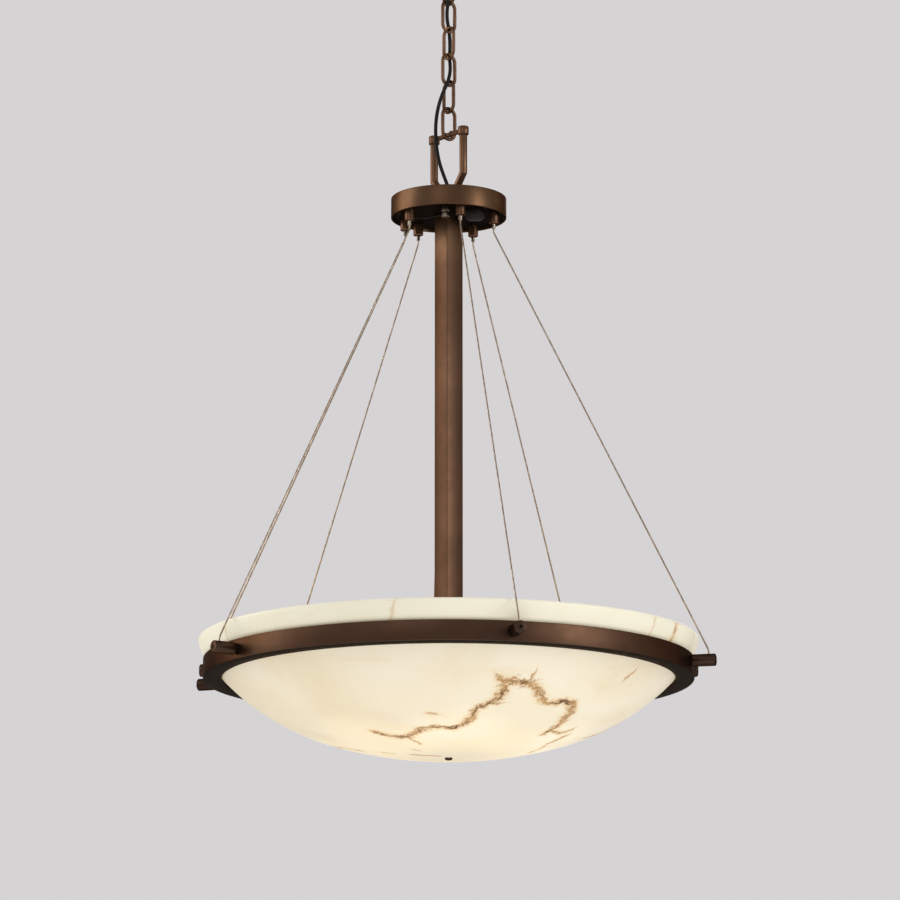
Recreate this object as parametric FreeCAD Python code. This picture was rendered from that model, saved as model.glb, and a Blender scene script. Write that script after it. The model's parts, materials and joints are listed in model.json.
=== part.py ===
import FreeCAD, Part
import math
import os
from FreeCAD import Vector

# Alabaster bowl pendant, hung from a ceiling canopy by a chain.
# Millimetres, +Z up. The origin is on the ceiling, at the middle of the mounting strap.
# The front of the lamp looks along -Y. Plan angles are measured from -Y towards +X.

# ---- ceiling fitting ----
strap_length = 104.0
strap_width = 22.0
strap_thickness = 2.5
strap_slot_spacing = 88.9          # between the two outlet box screws
strap_slot_width = 5.0
strap_slot_length = 9.0
pipe_diameter = 10.0               # the hollow threaded nipples, here and in the hub
pipe_bore = 6.6
pipe_nut_flats = 14.0
pipe_nut_height = 3.5
strap_pipe_length = 26.0
canopy_radius = 65.0
canopy_depth = 28.0
canopy_wall = 1.5
canopy_edge_rounding = 8.0
collar_radius = 12.5
collar_height = 6.0
neck_radius = 8.0
neck_height = 14.0
eye_radius = 12.5                  # to the middle of the eye's wire
eye_wire = 5.0

# ---- chain ----
link_count = 7
link_height = 44.0
link_width = 23.5
link_wire = 4.4
link_gap = 0.2                     # what two links leave between them at rest

# ---- bail on the hub ----
hub_turn = 38.6                    # how far the hub, stem and bail are turned in plan
bail_height = 82.6                 # crossbar axis above the hub's top
bail_half_span = 29.0
crossbar_diameter = 6.0
crossbar_collar_radius = 4.3
crossbar_collar_width = 3.0
crossbar_collar_offset = 6.0
arm_diameter = 9.7
arm_elbow_height = 28.0
arm_knee_height = 12.0
arm_foot_reach = 16.0
arm_bend = 6.0
arm_stud_diameter = 6.0
arm_stud_length = 8.0
arm_nut_flats = 10.0
arm_nut_height = 4.0
cap_diameter = 13.6
cap_height = 10.6
cap_drop = 5.8                     # cap's lower end below the crossbar's axis
cap_rounding = 1.5

# ---- hub ----
hub_radius = 71.7
hub_height = 25.0
hub_wall = 1.5
hub_edge_rounding = 1.0
plate_thickness = 2.0
plate_recess = 3.5                 # the plate's face above the cover's lower edge
plate_screw_count = 3
plate_screw_radius = 64.0
plate_screw_turn = 45.0
plate_screw_diameter = 3.0
plate_screw_head = 5.5
plate_screw_head_height = 1.8
plate_lug_radius = 3.6
plate_lug_height = 5.0
hub_pipe_rise = 7.0
hub_pipe_drop = 3.0                # below the stem's upper plug
grommet_radius = 6.6
grommet_depth = 4.0                # down into the pipe
grommet_height = 3.0
grommet_top_radius = 5.6
hole_plug_radius = 13.0            # the dark round plug under the hub
hole_plug_height = 11.0
hole_plug_rounding = 5.0
hole_plug_spigot_radius = 9.0
hole_plug_spigot_rise = 2.0        # above the plate
hole_plug_reach = 37.0
hole_plug_angle = 59.6
terminal_radius = 4.8
terminal_height = 13.0
terminal_waist_radius = 3.8
terminal_band = 4.0
terminal_band_gap = 3.0
terminal_shank_radius = 2.4
terminal_shank_rise = 3.0          # above the plate
terminal_reach = 45.0
terminal_angle = -5.0
earth_wire_diameter = 1.3
earth_wire_drop = 10.0             # its start below the plate
earth_wire_fall = 1.5
earth_wire_sag = 2.2
earth_wire_gap = 0.15

# ---- cable grippers ----
gripper_inset = 14.2               # its middle in from the hub's edge
gripper_radius = 6.25
gripper_height = 14.0
gripper_wall = 1.5
gripper_chamfer = 0.7
gripper_stud_diameter = 8.0
gripper_stud_height = 8.0
gripper_nut_flats = 12.0
gripper_nut_height = 3.5
gripper_bore = 2.6
plunger_diameter = 4.6
plunger_collar_diameter = 6.8
plunger_collar_height = 1.5
plunger_show = 6.5
plunger_travel = 2.0
plunger_spring_room = 6.0          # for the spring when it is pressed
running_gap = 0.08

# ---- steel cables ----
cable_diameter = 2.0
cable_bend = 15.0
cable_angles = [-57.0, 14.5, 75.5, 148.0, -176.0, -138.5, -110.0]
cable_straight = 1.0               # left straight beyond a fitting before the bend
cable_tail = 3.0

# ---- ring ----
ring_drop = 580.0                  # hub's lower edge to the ring's underside
ring_radius = 298.5
ring_height = 24.6
ring_wall = 3.0
flange_width = 22.8
flange_thickness = 3.0
side_screw_angles = [-90.0, 90.0]
side_screw_head_radius = 7.8
side_screw_head_height = 5.0
side_screw_diameter = 5.0
side_screw_length = 7.0
side_screw_rounding = 1.5

# ---- pegs on the ring ----
peg_diameter = 15.0
peg_length = 32.0
peg_waist_diameter = 13.0
peg_waist_length = 3.0
peg_edge_rounding = 1.2
peg_cable_reach = 23.5             # cable's middle out from the ring
peg_stud_diameter = 6.0
peg_nut_flats = 10.0
peg_nut_height = 3.0
stud_show = 1.0                    # past the nut
set_screw_diameter = 4.0
set_screw_socket = 2.6
set_screw_socket_depth = 3.0
set_screw_depth = 0.5              # its outer end below the peg's end
hole_gap = 0.3                     # a loose hole's radius over what passes through it

# ---- bowl ----
bowl_overhang = 6.5                # its rim's radius over the ring's
bowl_wall = 8.0
bowl_lip_bend = 55.5               # outline's radii of curvature, rim first
bowl_side_bend = 285.0
bowl_floor_slope = 16.4            # outline's slope where each arc ends, in degrees
bowl_side_slope = 52.0
bowl_lip_slope = 80.5
bowl_rim_rounding = 2.5
bowl_hole_diameter = 9.0
seat_gap = 0.3
gasket_inset = 2.5
gasket_width = 10.0

# ---- stem and lamp cluster ----
stem_width = 25.0
stem_wall = 1.5
stem_corner_rounding = 1.2
stem_rise = 8.0                    # above the hub's plate
plug_length = 12.0
plug_gap = 0.1
cluster_radius = 42.0
cluster_height = 26.0
cluster_top_drop = 18.0            # below the ring's underside
cluster_rounding = 3.0
socket_count = 6
socket_radius = 12.0
socket_length = 30.0
socket_bore_radius = 7.0
socket_floor_gap = 1.0             # behind the lamp's base
socket_turn = 8.6
bulb_radius = 25.0
bulb_length = 82.0
bulb_base_radius = 6.0
bulb_base_length = 20.0
bulb_neck_radius = 7.0
bulb_shoulder_radius = 18.0
rod_diameter = 8.0
rod_end_rise = 0.5                 # its end above the bowl's underside
rod_nut_flats = 13.0
rod_nut_height = 5.0
washer_radius = 14.0
washer_thickness = 2.0
finial_radius = 4.8
finial_head_height = 2.4
finial_pin_diameter = 5.0
finial_sleeve_radius = 4.0
finial_sleeve_height = 6.5
finial_rounding = 1.6

# ---- power cord, woven up through the chain ----
# Each point is x, y, and the height above the hub's top.
cord_diameter = 4.5
cord_gap = 0.4                     # round the cord in its bush
cord_points = [
    (0.0, 0.0, -8.0),
    (0.0, 0.0, 14.0),
    (-6.5, 0.5, 31.0),
    (-12.5, 2.0, 50.0),
    (-16.0, 4.0, 74.0),
    (-16.5, 3.5, 98.0),
    (-13.5, -0.8, 118.0),
    (-7.8, -6.4, 135.0),
    (-0.8, -8.6, 149.0),
    (2.4, -0.9, 167.0),
    (0.9, 8.7, 184.5),
    (1.7, 8.4, 202.0),
    (0.7, 8.8, 219.5),
    (-2.8, 0.6, 237.0),
    (-0.8, -8.6, 254.5),
    (-1.7, -8.4, 272.0),
    (-0.8, -8.2, 289.5),
    (-0.8, -7.9, 306.0),
    (-1.8, -8.9, 321.0),
    (-1.9, -7.9, 331.5),
    (0.0, 0.0, 342.0),
    (0.0, 0.0, 374.0),
]

# ---- heights worked out from the sizes above ----
eye_middle = -canopy_depth - neck_height - eye_radius
chain_top = eye_middle - eye_radius + eye_wire / 2.0
link_pitch = link_height - 2.0 * link_wire - link_gap
chain_bottom = chain_top - link_count * link_pitch
crossbar_axis = chain_bottom + link_gap / 2.0 + crossbar_diameter / 2.0
hub_top = crossbar_axis - bail_height
hub_bottom = hub_top - hub_height
plate_face = hub_bottom + plate_recess
plate_top = plate_face + plate_thickness
ring_bottom = hub_bottom - ring_drop
flange_top = ring_bottom + flange_thickness
peg_axis = ring_bottom + ring_height / 2.0
flange_radius = ring_radius - flange_width
gripper_reach = hub_radius - gripper_inset
bowl_radius = ring_radius + bowl_overhang
stem_top = plate_top + stem_rise
cluster_top = ring_bottom - cluster_top_drop
cluster_bottom = cluster_top - cluster_height


# ---- helpers ----
def radians(degrees):
    return degrees * math.pi / 180.0


def place(reach, angle, height=0.0):
    """A point at a plan angle from the front."""
    turn = radians(angle)
    return Vector(reach * math.sin(turn), -reach * math.cos(turn), height)


def outward(angle):
    return place(1.0, angle)


def upright(radius, low, high, centre=Vector(0, 0, 0)):
    return Part.makeCylinder(radius, high - low, Vector(centre.x, centre.y, low))


def lying(radius, start, direction, length):
    return Part.makeCylinder(radius, length, start, direction)


def hexagon(flats, low, high, centre=Vector(0, 0, 0), hole=0.0):
    """A hexagonal nut's solid with a round hole."""
    corner = flats / 2.0 / math.cos(radians(30.0))
    points = []
    for step in range(7):
        turn = radians(60.0 * step)
        points.append(Vector(centre.x + corner * math.cos(turn), centre.y + corner * math.sin(turn), low))
    nut = Part.Face(Part.makePolygon(points)).extrude(Vector(0, 0, high - low))
    if hole:
        nut = nut.cut(upright(hole, low - 1.0, high + 1.0, centre))
    return nut


def square_bar(width, low, high):
    """A square bar on the lamp's axis, turned with the hub."""
    bar = Part.makeBox(width, width, high - low, Vector(-width / 2.0, -width / 2.0, low))
    bar.rotate(Vector(0, 0, 0), Vector(0, 0, 1), hub_turn)
    return bar


def turned(edges):
    """A solid of revolution about Z from closed edges in the XZ plane."""
    face = Part.Face(Part.Wire(edges))
    return face.revolve(Vector(0, 0, 0), Vector(0, 0, 1), 360.0)


def turned_polygon(points):
    corners = [Vector(r, 0, z) for r, z in points]
    corners.append(corners[0])
    return turned(Part.makePolygon(corners).Edges)


def rounded_rod(points, radius, bends):
    """A round rod along straight runs that are joined by tangent arcs, one bend per inner point."""
    edges = []
    start = points[0]
    for index in range(1, len(points) - 1):
        corner = points[index]
        before = (corner - points[index - 1]).normalize()
        after = (points[index + 1] - corner).normalize()
        half_turn = before.getAngle(after) / 2.0
        reach = bends[index - 1] * math.tan(half_turn)
        enter = corner - before * reach
        leave = corner + after * reach
        inward = (after - before).normalize()
        middle = corner + inward * (bends[index - 1] * (1.0 / math.cos(half_turn) - 1.0))
        edges.append(Part.LineSegment(start, enter).toShape())
        edges.append(Part.Arc(enter, middle, leave).toShape())
        start = leave
    edges.append(Part.LineSegment(start, points[-1]).toShape())
    along = (points[1] - points[0]).normalize()
    section = Part.Wire([Part.makeCircle(radius, points[0], along)])
    return Part.Wire(edges).makePipeShell([section], True, False)


def rounded_length(points, bends):
    """The route's length with its corners rounded."""
    length = sum((points[index + 1] - points[index]).Length for index in range(len(points) - 1))
    for index, bend in enumerate(bends, 1):
        before = points[index] - points[index - 1]
        half_turn = before.getAngle(points[index + 1] - points[index]) / 2.0
        length -= 2.0 * bend * (math.tan(half_turn) - half_turn)
    return length


def cord_bends(points):
    """The largest arc that each corner of a cord's route leaves room for."""
    bends = []
    for index in range(1, len(points) - 1):
        before = points[index] - points[index - 1]
        after = points[index + 1] - points[index]
        half_turn = max(before.getAngle(after) / 2.0, 1e-4)
        bends.append(0.45 * min(before.Length, after.Length) / math.tan(half_turn))
    return bends


def save(name, shape):
    solids = shape if isinstance(shape, list) else [shape]
    for solid in solids:
        assert solid.isValid() and solid.Volume > 0, name
    kept = solids[0] if len(solids) == 1 else Part.makeCompound(solids)
    kept.exportStep(os.path.join("parts", name + ".step"))


# ---- ceiling fitting ----
def ceiling_strap():
    strap = Part.makeBox(
        strap_length,
        strap_width,
        strap_thickness,
        Vector(-strap_length / 2.0, -strap_width / 2.0, -strap_thickness),
    )
    strap = strap.cut(upright(pipe_diameter / 2.0, -strap_thickness - 1.0, 1.0))
    for side in (-1.0, 1.0):
        centre = side * strap_slot_spacing / 2.0
        half_run = (strap_slot_length - strap_slot_width) / 2.0
        slot = Part.makeBox(
            2.0 * half_run,
            strap_slot_width,
            strap_thickness + 2.0,
            Vector(centre - half_run, -strap_slot_width / 2.0, -strap_thickness - 1.0),
        )
        for end in (-half_run, half_run):
            end_point = Vector(centre + end, 0, 0)
            slot = slot.fuse(upright(strap_slot_width / 2.0, -strap_thickness - 1.0, 1.0, end_point))
        strap = strap.cut(slot)
    return strap.removeSplitter()


def pipe(low, high):
    """A hollow threaded nipple, drawn at its thread's outside diameter."""
    return upright(pipe_diameter / 2.0, low, high).cut(upright(pipe_bore / 2.0, low - 1.0, high + 1.0))


def canopy():
    """A shallow cup with its open side against the ceiling."""
    hole = neck_radius + hole_gap
    outer_bend = Part.Arc(
        Vector(canopy_radius, 0, -canopy_depth + canopy_edge_rounding),
        Vector(
            canopy_radius - canopy_edge_rounding * (1.0 - math.cos(radians(45.0))),
            0,
            -canopy_depth + canopy_edge_rounding * (1.0 - math.sin(radians(45.0))),
        ),
        Vector(canopy_radius - canopy_edge_rounding, 0, -canopy_depth),
    ).toShape()
    inner_rounding = canopy_edge_rounding - canopy_wall
    inner_bend = Part.Arc(
        Vector(canopy_radius - canopy_edge_rounding, 0, -canopy_depth + canopy_wall),
        Vector(
            canopy_radius - canopy_edge_rounding + inner_rounding * math.cos(radians(45.0)),
            0,
            -canopy_depth + canopy_edge_rounding - inner_rounding * math.sin(radians(45.0)),
        ),
        Vector(canopy_radius - canopy_wall, 0, -canopy_depth + canopy_edge_rounding),
    ).toShape()

    def straight(start, end):
        return Part.makeLine(Vector(start[0], 0, start[1]), Vector(end[0], 0, end[1]))

    edges = [
        straight((canopy_radius, 0.0), (canopy_radius, -canopy_depth + canopy_edge_rounding)),
        outer_bend,
        straight((canopy_radius - canopy_edge_rounding, -canopy_depth), (hole, -canopy_depth)),
        straight((hole, -canopy_depth), (hole, -canopy_depth + canopy_wall)),
        straight(
            (hole, -canopy_depth + canopy_wall),
            (canopy_radius - canopy_edge_rounding, -canopy_depth + canopy_wall),
        ),
        inner_bend,
        straight(
            (canopy_radius - canopy_wall, -canopy_depth + canopy_edge_rounding),
            (canopy_radius - canopy_wall, 0.0),
        ),
        straight((canopy_radius - canopy_wall, 0.0), (canopy_radius, 0.0)),
    ]
    return turned(edges)


def canopy_loop():
    """A hollow neck that screws onto the nipple and ends in an eye for the chain."""
    neck_top = -canopy_depth + collar_height
    neck_bottom = -canopy_depth - neck_height
    neck = upright(neck_radius, neck_bottom, neck_top)
    eye = Part.makeTorus(eye_radius, eye_wire / 2.0, Vector(0, 0, eye_middle), eye_normal())
    loop = neck.fuse(eye)
    loop = loop.cut(upright(pipe_bore / 2.0, eye_middle, neck_top + 1.0))
    thread_depth = upright(pipe_diameter / 2.0, -strap_pipe_length, neck_top + 1.0)
    return loop.cut(thread_depth).removeSplitter()


def canopy_collar():
    """The ring that screws onto the neck and holds the canopy up."""
    low = -canopy_depth - collar_height
    ring = upright(collar_radius, low, -canopy_depth)
    ring = ring.cut(upright(neck_radius + running_gap, low - 1.0, -canopy_depth + 1.0))
    return ring


# ---- chain ----
def link_turn(number):
    """Plan turn of a link's plane. Link 1 is the top one and the last one hangs square to the crossbar."""
    return hub_turn if (link_count - number) % 2 == 0 else hub_turn - 90.0


def eye_normal():
    """The eye lies in the plane square to the top link."""
    turn = radians(link_turn(1))
    return Vector(math.cos(turn), math.sin(turn), 0)


def chain_link(number):
    bend = (link_width - link_wire) / 2.0
    half_leg = (link_height - link_width) / 2.0
    outline = Part.makeCircle(link_wire / 2.0, Vector(bend, 0, half_leg), Vector(0, 0, 1))
    section = Part.Face(Part.Wire([outline]))
    leg = section.extrude(Vector(0, 0, -2.0 * half_leg))
    crown = section.revolve(Vector(0, 0, half_leg), Vector(0, 1, 0), -180.0)
    half = leg.fuse(crown)
    other_half = half.copy()
    other_half.rotate(Vector(0, 0, 0), Vector(0, 1, 0), 180.0)
    link = half.fuse(other_half).removeSplitter()
    link.rotate(Vector(0, 0, 0), Vector(0, 0, 1), link_turn(number))
    contact = chain_top - (number - 1) * link_pitch
    top = contact + link_gap / 2.0 + link_wire
    link.translate(Vector(0, 0, top - link_height / 2.0))
    return link


# ---- bail ----
def along_bail(reach, height):
    """A point in the bail's plane. The crossbar runs at this turn in plan."""
    turn = radians(hub_turn - 90.0)
    return Vector(reach * math.cos(turn), reach * math.sin(turn), height)


def bail_arm(side):
    reach = side * bail_half_span
    foot = side * arm_foot_reach
    points = [
        along_bail(reach, crossbar_axis - crossbar_diameter / 2.0 - hole_gap),
        along_bail(reach, hub_top + arm_elbow_height),
        along_bail(foot, hub_top + arm_knee_height),
        along_bail(foot, hub_top),
    ]
    arm = rounded_rod(points, arm_diameter / 2.0, [arm_bend, arm_bend])
    stud = upright(arm_stud_diameter / 2.0, hub_top - arm_stud_length, hub_top + 1.0, along_bail(foot, 0))
    return arm.fuse(stud).removeSplitter()


def bail_cap(side):
    """A round head on the arm's end, with the crossbar's seat."""
    low = crossbar_axis - cap_drop
    high = low + cap_height
    centre = along_bail(side * bail_half_span, 0)
    cap = upright(cap_diameter / 2.0, low, high, centre)
    cap = cap.makeFillet(cap_rounding, [edge for edge in cap.Edges if edge.BoundBox.ZMin > high - 0.01])
    arm_top = crossbar_axis - crossbar_diameter / 2.0 - hole_gap
    cap = cap.cut(upright(arm_diameter / 2.0, low - 1.0, arm_top, centre))
    half_bar = bail_half_span + crossbar_diameter / 2.0
    seat = lying(
        crossbar_diameter / 2.0,
        along_bail(-side * half_bar, crossbar_axis),
        along_bail(side, 0),
        2.0 * half_bar,
    )
    return cap.cut(seat)


def bail_crossbar():
    half_bar = bail_half_span + crossbar_diameter / 2.0
    direction = along_bail(1.0, 0)
    bar = lying(crossbar_diameter / 2.0, along_bail(-half_bar, crossbar_axis), direction, 2.0 * half_bar)
    for side in (-1.0, 1.0):
        start = along_bail(side * crossbar_collar_offset - crossbar_collar_width / 2.0, crossbar_axis)
        ring = lying(crossbar_collar_radius, start, direction, crossbar_collar_width)
        bar = bar.fuse(ring)
    return bar.removeSplitter()


# ---- hub ----
def plate_screw_places():
    return [place(plate_screw_radius, plate_screw_turn + 360.0 / plate_screw_count * step)
            for step in range(plate_screw_count)]


def hub_cover():
    """A turned cup, open below, with lugs inside for the plate's screws."""
    cover = upright(hub_radius, hub_bottom, hub_top)
    cover = cover.makeFillet(hub_edge_rounding, [e for e in cover.Edges if e.BoundBox.ZMin > hub_top - 0.01])
    cover = cover.cut(upright(hub_radius - hub_wall, hub_bottom - 1.0, hub_top - hub_wall))
    inside = upright(hub_radius - hub_wall + 0.5, plate_top, hub_top - hub_wall / 2.0)
    lug_top = plate_top + plate_lug_height
    for centre in plate_screw_places():
        lug = upright(plate_lug_radius, plate_top, lug_top, centre)
        bridge = Part.makeBox(
            hub_radius - hub_wall / 2.0 - plate_screw_radius,
            2.0 * plate_lug_radius,
            plate_lug_height,
            Vector(plate_screw_radius, -plate_lug_radius, plate_top),
        )
        bridge.rotate(Vector(0, 0, 0), Vector(0, 0, 1), math.degrees(math.atan2(centre.y, centre.x)))
        lug = lug.fuse(bridge).common(inside)
        screw_hole = upright(plate_screw_diameter / 2.0, plate_top - 1.0, lug_top + 1.0, centre)
        cover = cover.fuse(lug).cut(screw_hole)
    cover = cover.cut(upright(pipe_diameter / 2.0 + hole_gap, hub_top - hub_wall - 1.0, hub_top + 1.0))
    for side in (-1.0, 1.0):
        foot = along_bail(side * arm_foot_reach, 0)
        hole = upright(arm_stud_diameter / 2.0 + running_gap, hub_top - hub_wall - 1.0, hub_top + 1.0, foot)
        cover = cover.cut(hole)
    return cover.removeSplitter()


def hub_plate():
    plate = upright(hub_radius - hub_wall - seat_gap, plate_face, plate_top)
    plate = plate.cut(square_bar(stem_width + 2.0 * hole_gap, plate_face - 1.0, plate_top + 1.0))
    for angle in cable_angles:
        centre = place(gripper_reach, angle)
        plate = plate.cut(upright(gripper_stud_diameter / 2.0, plate_face - 1.0, plate_top + 1.0, centre))
    for centre in plate_screw_places():
        hole = upright(plate_screw_diameter / 2.0 + hole_gap, plate_face - 1.0, plate_top + 1.0, centre)
        plate = plate.cut(hole)
    plug_hole_radius = hole_plug_spigot_radius + seat_gap
    plug_centre = place(hole_plug_reach, hole_plug_angle)
    plate = plate.cut(upright(plug_hole_radius, plate_face - 1.0, plate_top + 1.0, plug_centre))
    terminal_centre = place(terminal_reach, terminal_angle)
    return plate.cut(upright(terminal_shank_radius, plate_face - 1.0, plate_top + 1.0, terminal_centre))


def plate_screw(centre):
    head = upright(plate_screw_head / 2.0, plate_face - plate_screw_head_height, plate_face, centre)
    shank = upright(plate_screw_diameter / 2.0, plate_face, plate_top + plate_lug_height, centre)
    return head.fuse(shank)


def hole_plug():
    """The round dark plug that closes the wiring hole in the plate."""
    centre = place(hole_plug_reach, hole_plug_angle)
    low = plate_face - hole_plug_height
    head = upright(hole_plug_radius, low, plate_face, centre)
    head = head.makeFillet(hole_plug_rounding, [e for e in head.Edges if e.BoundBox.ZMax < low + 0.01])
    spigot = upright(hole_plug_spigot_radius, plate_face, plate_top + hole_plug_spigot_rise, centre)
    return head.fuse(spigot).removeSplitter()


def earth_terminal():
    """A small waisted post with two bands."""
    centre = place(terminal_reach, terminal_angle)
    low = plate_face - terminal_height
    post = upright(terminal_waist_radius, low, plate_face, centre)
    for band_low in (low, low + terminal_band + terminal_band_gap):
        post = post.fuse(upright(terminal_radius, band_low, band_low + terminal_band, centre))
    shank = upright(terminal_shank_radius, plate_face, plate_top + terminal_shank_rise, centre)
    return post.fuse(shank).removeSplitter()


def earth_wire():
    """From the terminal to the nearest gripper, with a little sag."""
    start_centre = place(terminal_reach, terminal_angle)
    end_centre = place(gripper_reach, cable_angles[0])
    direction = (end_centre - start_centre).normalize()
    height = plate_face - earth_wire_drop
    start = start_centre + direction * (terminal_radius + earth_wire_gap) + Vector(0, 0, height)
    end_height = height - earth_wire_fall
    end = end_centre - direction * (gripper_radius + earth_wire_gap) + Vector(0, 0, end_height)
    middle = (start + end) * 0.5 - Vector(0, 0, earth_wire_sag)
    points = [start, middle, end]
    return rounded_rod(points, earth_wire_diameter / 2.0, cord_bends(points))


def cord_grommet():
    """The bush that keeps the power cord off the pipe's edge."""
    pipe_end = hub_top + hub_pipe_rise
    cord_hole = cord_diameter / 2.0 + cord_gap
    outer = [
        (cord_hole, pipe_end - grommet_depth),
        (pipe_bore / 2.0 - running_gap, pipe_end - grommet_depth),
        (pipe_bore / 2.0 - running_gap, pipe_end),
        (grommet_radius, pipe_end),
        (grommet_top_radius, pipe_end + grommet_height),
        (cord_hole, pipe_end + grommet_height),
    ]
    return turned_polygon(outer)


# ---- grippers, plungers and cables ----
def gripper_body(angle):
    """A cable gripper: threaded stud above the plate, chamber for the plunger below."""
    centre = place(gripper_reach, angle)
    low = plate_face - gripper_height
    body = upright(gripper_radius, low, plate_face, centre)
    body = body.makeChamfer(gripper_chamfer, [e for e in body.Edges if e.BoundBox.ZMax < low + 0.01])
    stud_top = plate_top + gripper_stud_height
    body = body.fuse(upright(gripper_stud_diameter / 2.0, plate_face, stud_top, centre))
    body = body.cut(upright(gripper_bore / 2.0, low - 1.0, stud_top + 1.0, centre))
    chamber_radius = plunger_collar_diameter / 2.0 + running_gap
    chamber_low = low + gripper_wall
    chamber_top = chamber_low + plunger_collar_height + plunger_travel + plunger_spring_room
    body = body.cut(upright(chamber_radius, chamber_low, chamber_top, centre))
    mouth_radius = plunger_diameter / 2.0 + running_gap
    return body.cut(upright(mouth_radius, low - 1.0, low + gripper_wall + 1.0, centre))


def gripper_plunger(angle):
    """The sleeve that is pressed up to let the cable slide."""
    centre = place(gripper_reach, angle)
    low = plate_face - gripper_height
    collar_low = low + gripper_wall + running_gap
    sleeve = upright(plunger_diameter / 2.0, low - plunger_show, collar_low + plunger_collar_height, centre)
    collar = upright(plunger_collar_diameter / 2.0, collar_low, collar_low + plunger_collar_height, centre)
    plunger = sleeve.fuse(collar).removeSplitter()
    return plunger.cut(upright(gripper_bore / 2.0, low - plunger_show - 1.0, plate_face, centre))


def steel_cable(angle):
    """From the gripper's tail, out over the bowl's rim and down into the peg."""
    peg_reach = ring_radius + peg_cable_reach
    slope = math.atan2(peg_reach - gripper_reach, plate_face - peg_axis - 2.0 * gripper_height)
    drop = cable_bend * math.tan(slope / 2.0) + cable_straight
    points = [
        place(gripper_reach, angle, plate_top + gripper_stud_height + cable_tail),
        place(gripper_reach, angle, plate_face - gripper_height - plunger_show - drop),
        place(peg_reach, angle, peg_axis + peg_diameter / 2.0 + drop),
        place(peg_reach, angle, peg_axis - peg_diameter / 4.0),
    ]
    return rounded_rod(points, cable_diameter / 2.0, [cable_bend, cable_bend])


# ---- ring, pegs and bowl ----
def ring_frame():
    """A rolled steel angle: an upright wall and an inward flange."""
    ring = turned_polygon([
        (flange_radius, ring_bottom),
        (ring_radius, ring_bottom),
        (ring_radius, ring_bottom + ring_height),
        (ring_radius - ring_wall, ring_bottom + ring_height),
        (ring_radius - ring_wall, flange_top),
        (flange_radius, flange_top),
    ])
    for angle in cable_angles:
        start = place(ring_radius - 2.0 * ring_wall, angle, peg_axis)
        ring = ring.cut(lying(peg_stud_diameter / 2.0, start, outward(angle), 3.0 * ring_wall))
    for angle in side_screw_angles:
        start = place(ring_radius - 2.0 * ring_wall, angle, peg_axis)
        ring = ring.cut(lying(side_screw_diameter / 2.0, start, outward(angle), 3.0 * ring_wall))
    return ring


def trimmed_to_ring(shape):
    """Cuts a fitting's base to the ring's round outside."""
    core = upright(ring_radius, ring_bottom - 5.0, ring_bottom + ring_height + 5.0)
    return shape.cut(core)


def cable_peg(angle):
    """A round peg that stands out of the ring and takes the cable's end."""
    direction = outward(angle)
    root = place(ring_radius - ring_wall, angle, peg_axis)
    waist = lying(peg_waist_diameter / 2.0, root, direction, ring_wall + peg_waist_length)
    body_start = place(ring_radius + peg_waist_length, angle, peg_axis)
    body = lying(peg_diameter / 2.0, body_start, direction, peg_length - peg_waist_length)
    body = body.makeFillet(peg_edge_rounding, [e for e in body.Edges if e.Closed and e.Length > 1.0
                                               and e.Curve.TypeId == "Part::GeomCircle"])
    peg = trimmed_to_ring(waist.fuse(body))
    stud_length = ring_wall + peg_nut_height + stud_show
    stud_start = place(ring_radius - stud_length, angle, peg_axis)
    peg = peg.fuse(lying(peg_stud_diameter / 2.0, stud_start, direction, stud_length + 1.0))
    cable_place = place(ring_radius + peg_cable_reach, angle)
    hole_low = peg_axis - peg_diameter / 4.0
    cable_hole = upright(cable_diameter / 2.0 + hole_gap, hole_low, peg_axis + peg_diameter, cable_place)
    screw_start = place(ring_radius + peg_cable_reach, angle, peg_axis)
    screw_hole = lying(set_screw_diameter / 2.0, screw_start, direction, peg_length)
    return peg.cut(cable_hole).cut(screw_hole).removeSplitter()


def set_screw(angle):
    """The headless screw in the peg's end that pinches the cable."""
    direction = outward(angle)
    inner = peg_cable_reach + cable_diameter / 2.0
    start = place(ring_radius + inner, angle, peg_axis)
    length = peg_length - inner - set_screw_depth
    screw = lying(set_screw_diameter / 2.0, start, direction, length)
    socket_start = place(ring_radius + inner + length - set_screw_socket_depth, angle, peg_axis)
    return screw.cut(lying(set_screw_socket / 2.0, socket_start, direction, peg_length))


def peg_nut(angle):
    """The nut on the peg's stud, inside the ring's wall."""
    nut = hexagon(peg_nut_flats, 0.0, peg_nut_height, hole=peg_stud_diameter / 2.0)
    nut.rotate(Vector(0, 0, 0), Vector(1, 0, 0), 90.0)
    nut.rotate(Vector(0, 0, 0), Vector(0, 0, 1), angle)
    corner = peg_nut_flats / 2.0 / math.cos(radians(30.0))
    inner_wall = ring_radius - ring_wall
    flat_reach = math.sqrt(inner_wall ** 2 - corner ** 2)
    nut.translate(place(flat_reach - peg_nut_height, angle, peg_axis))
    return nut


def side_screw(angle):
    """A round-headed screw in the ring's side."""
    direction = outward(angle)
    root = place(ring_radius - ring_wall, angle, peg_axis)
    head = lying(side_screw_head_radius, root, direction, ring_wall + side_screw_head_height)
    rim = [e for e in head.Edges if e.Closed and (e.CenterOfMass - root).Length > ring_wall + 1.0]
    head = trimmed_to_ring(head.makeFillet(side_screw_rounding, rim))
    shank_start = place(ring_radius - side_screw_length, angle, peg_axis)
    shank = lying(side_screw_diameter / 2.0, shank_start, direction, side_screw_length + 1.0)
    return head.fuse(shank).removeSplitter()


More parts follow.
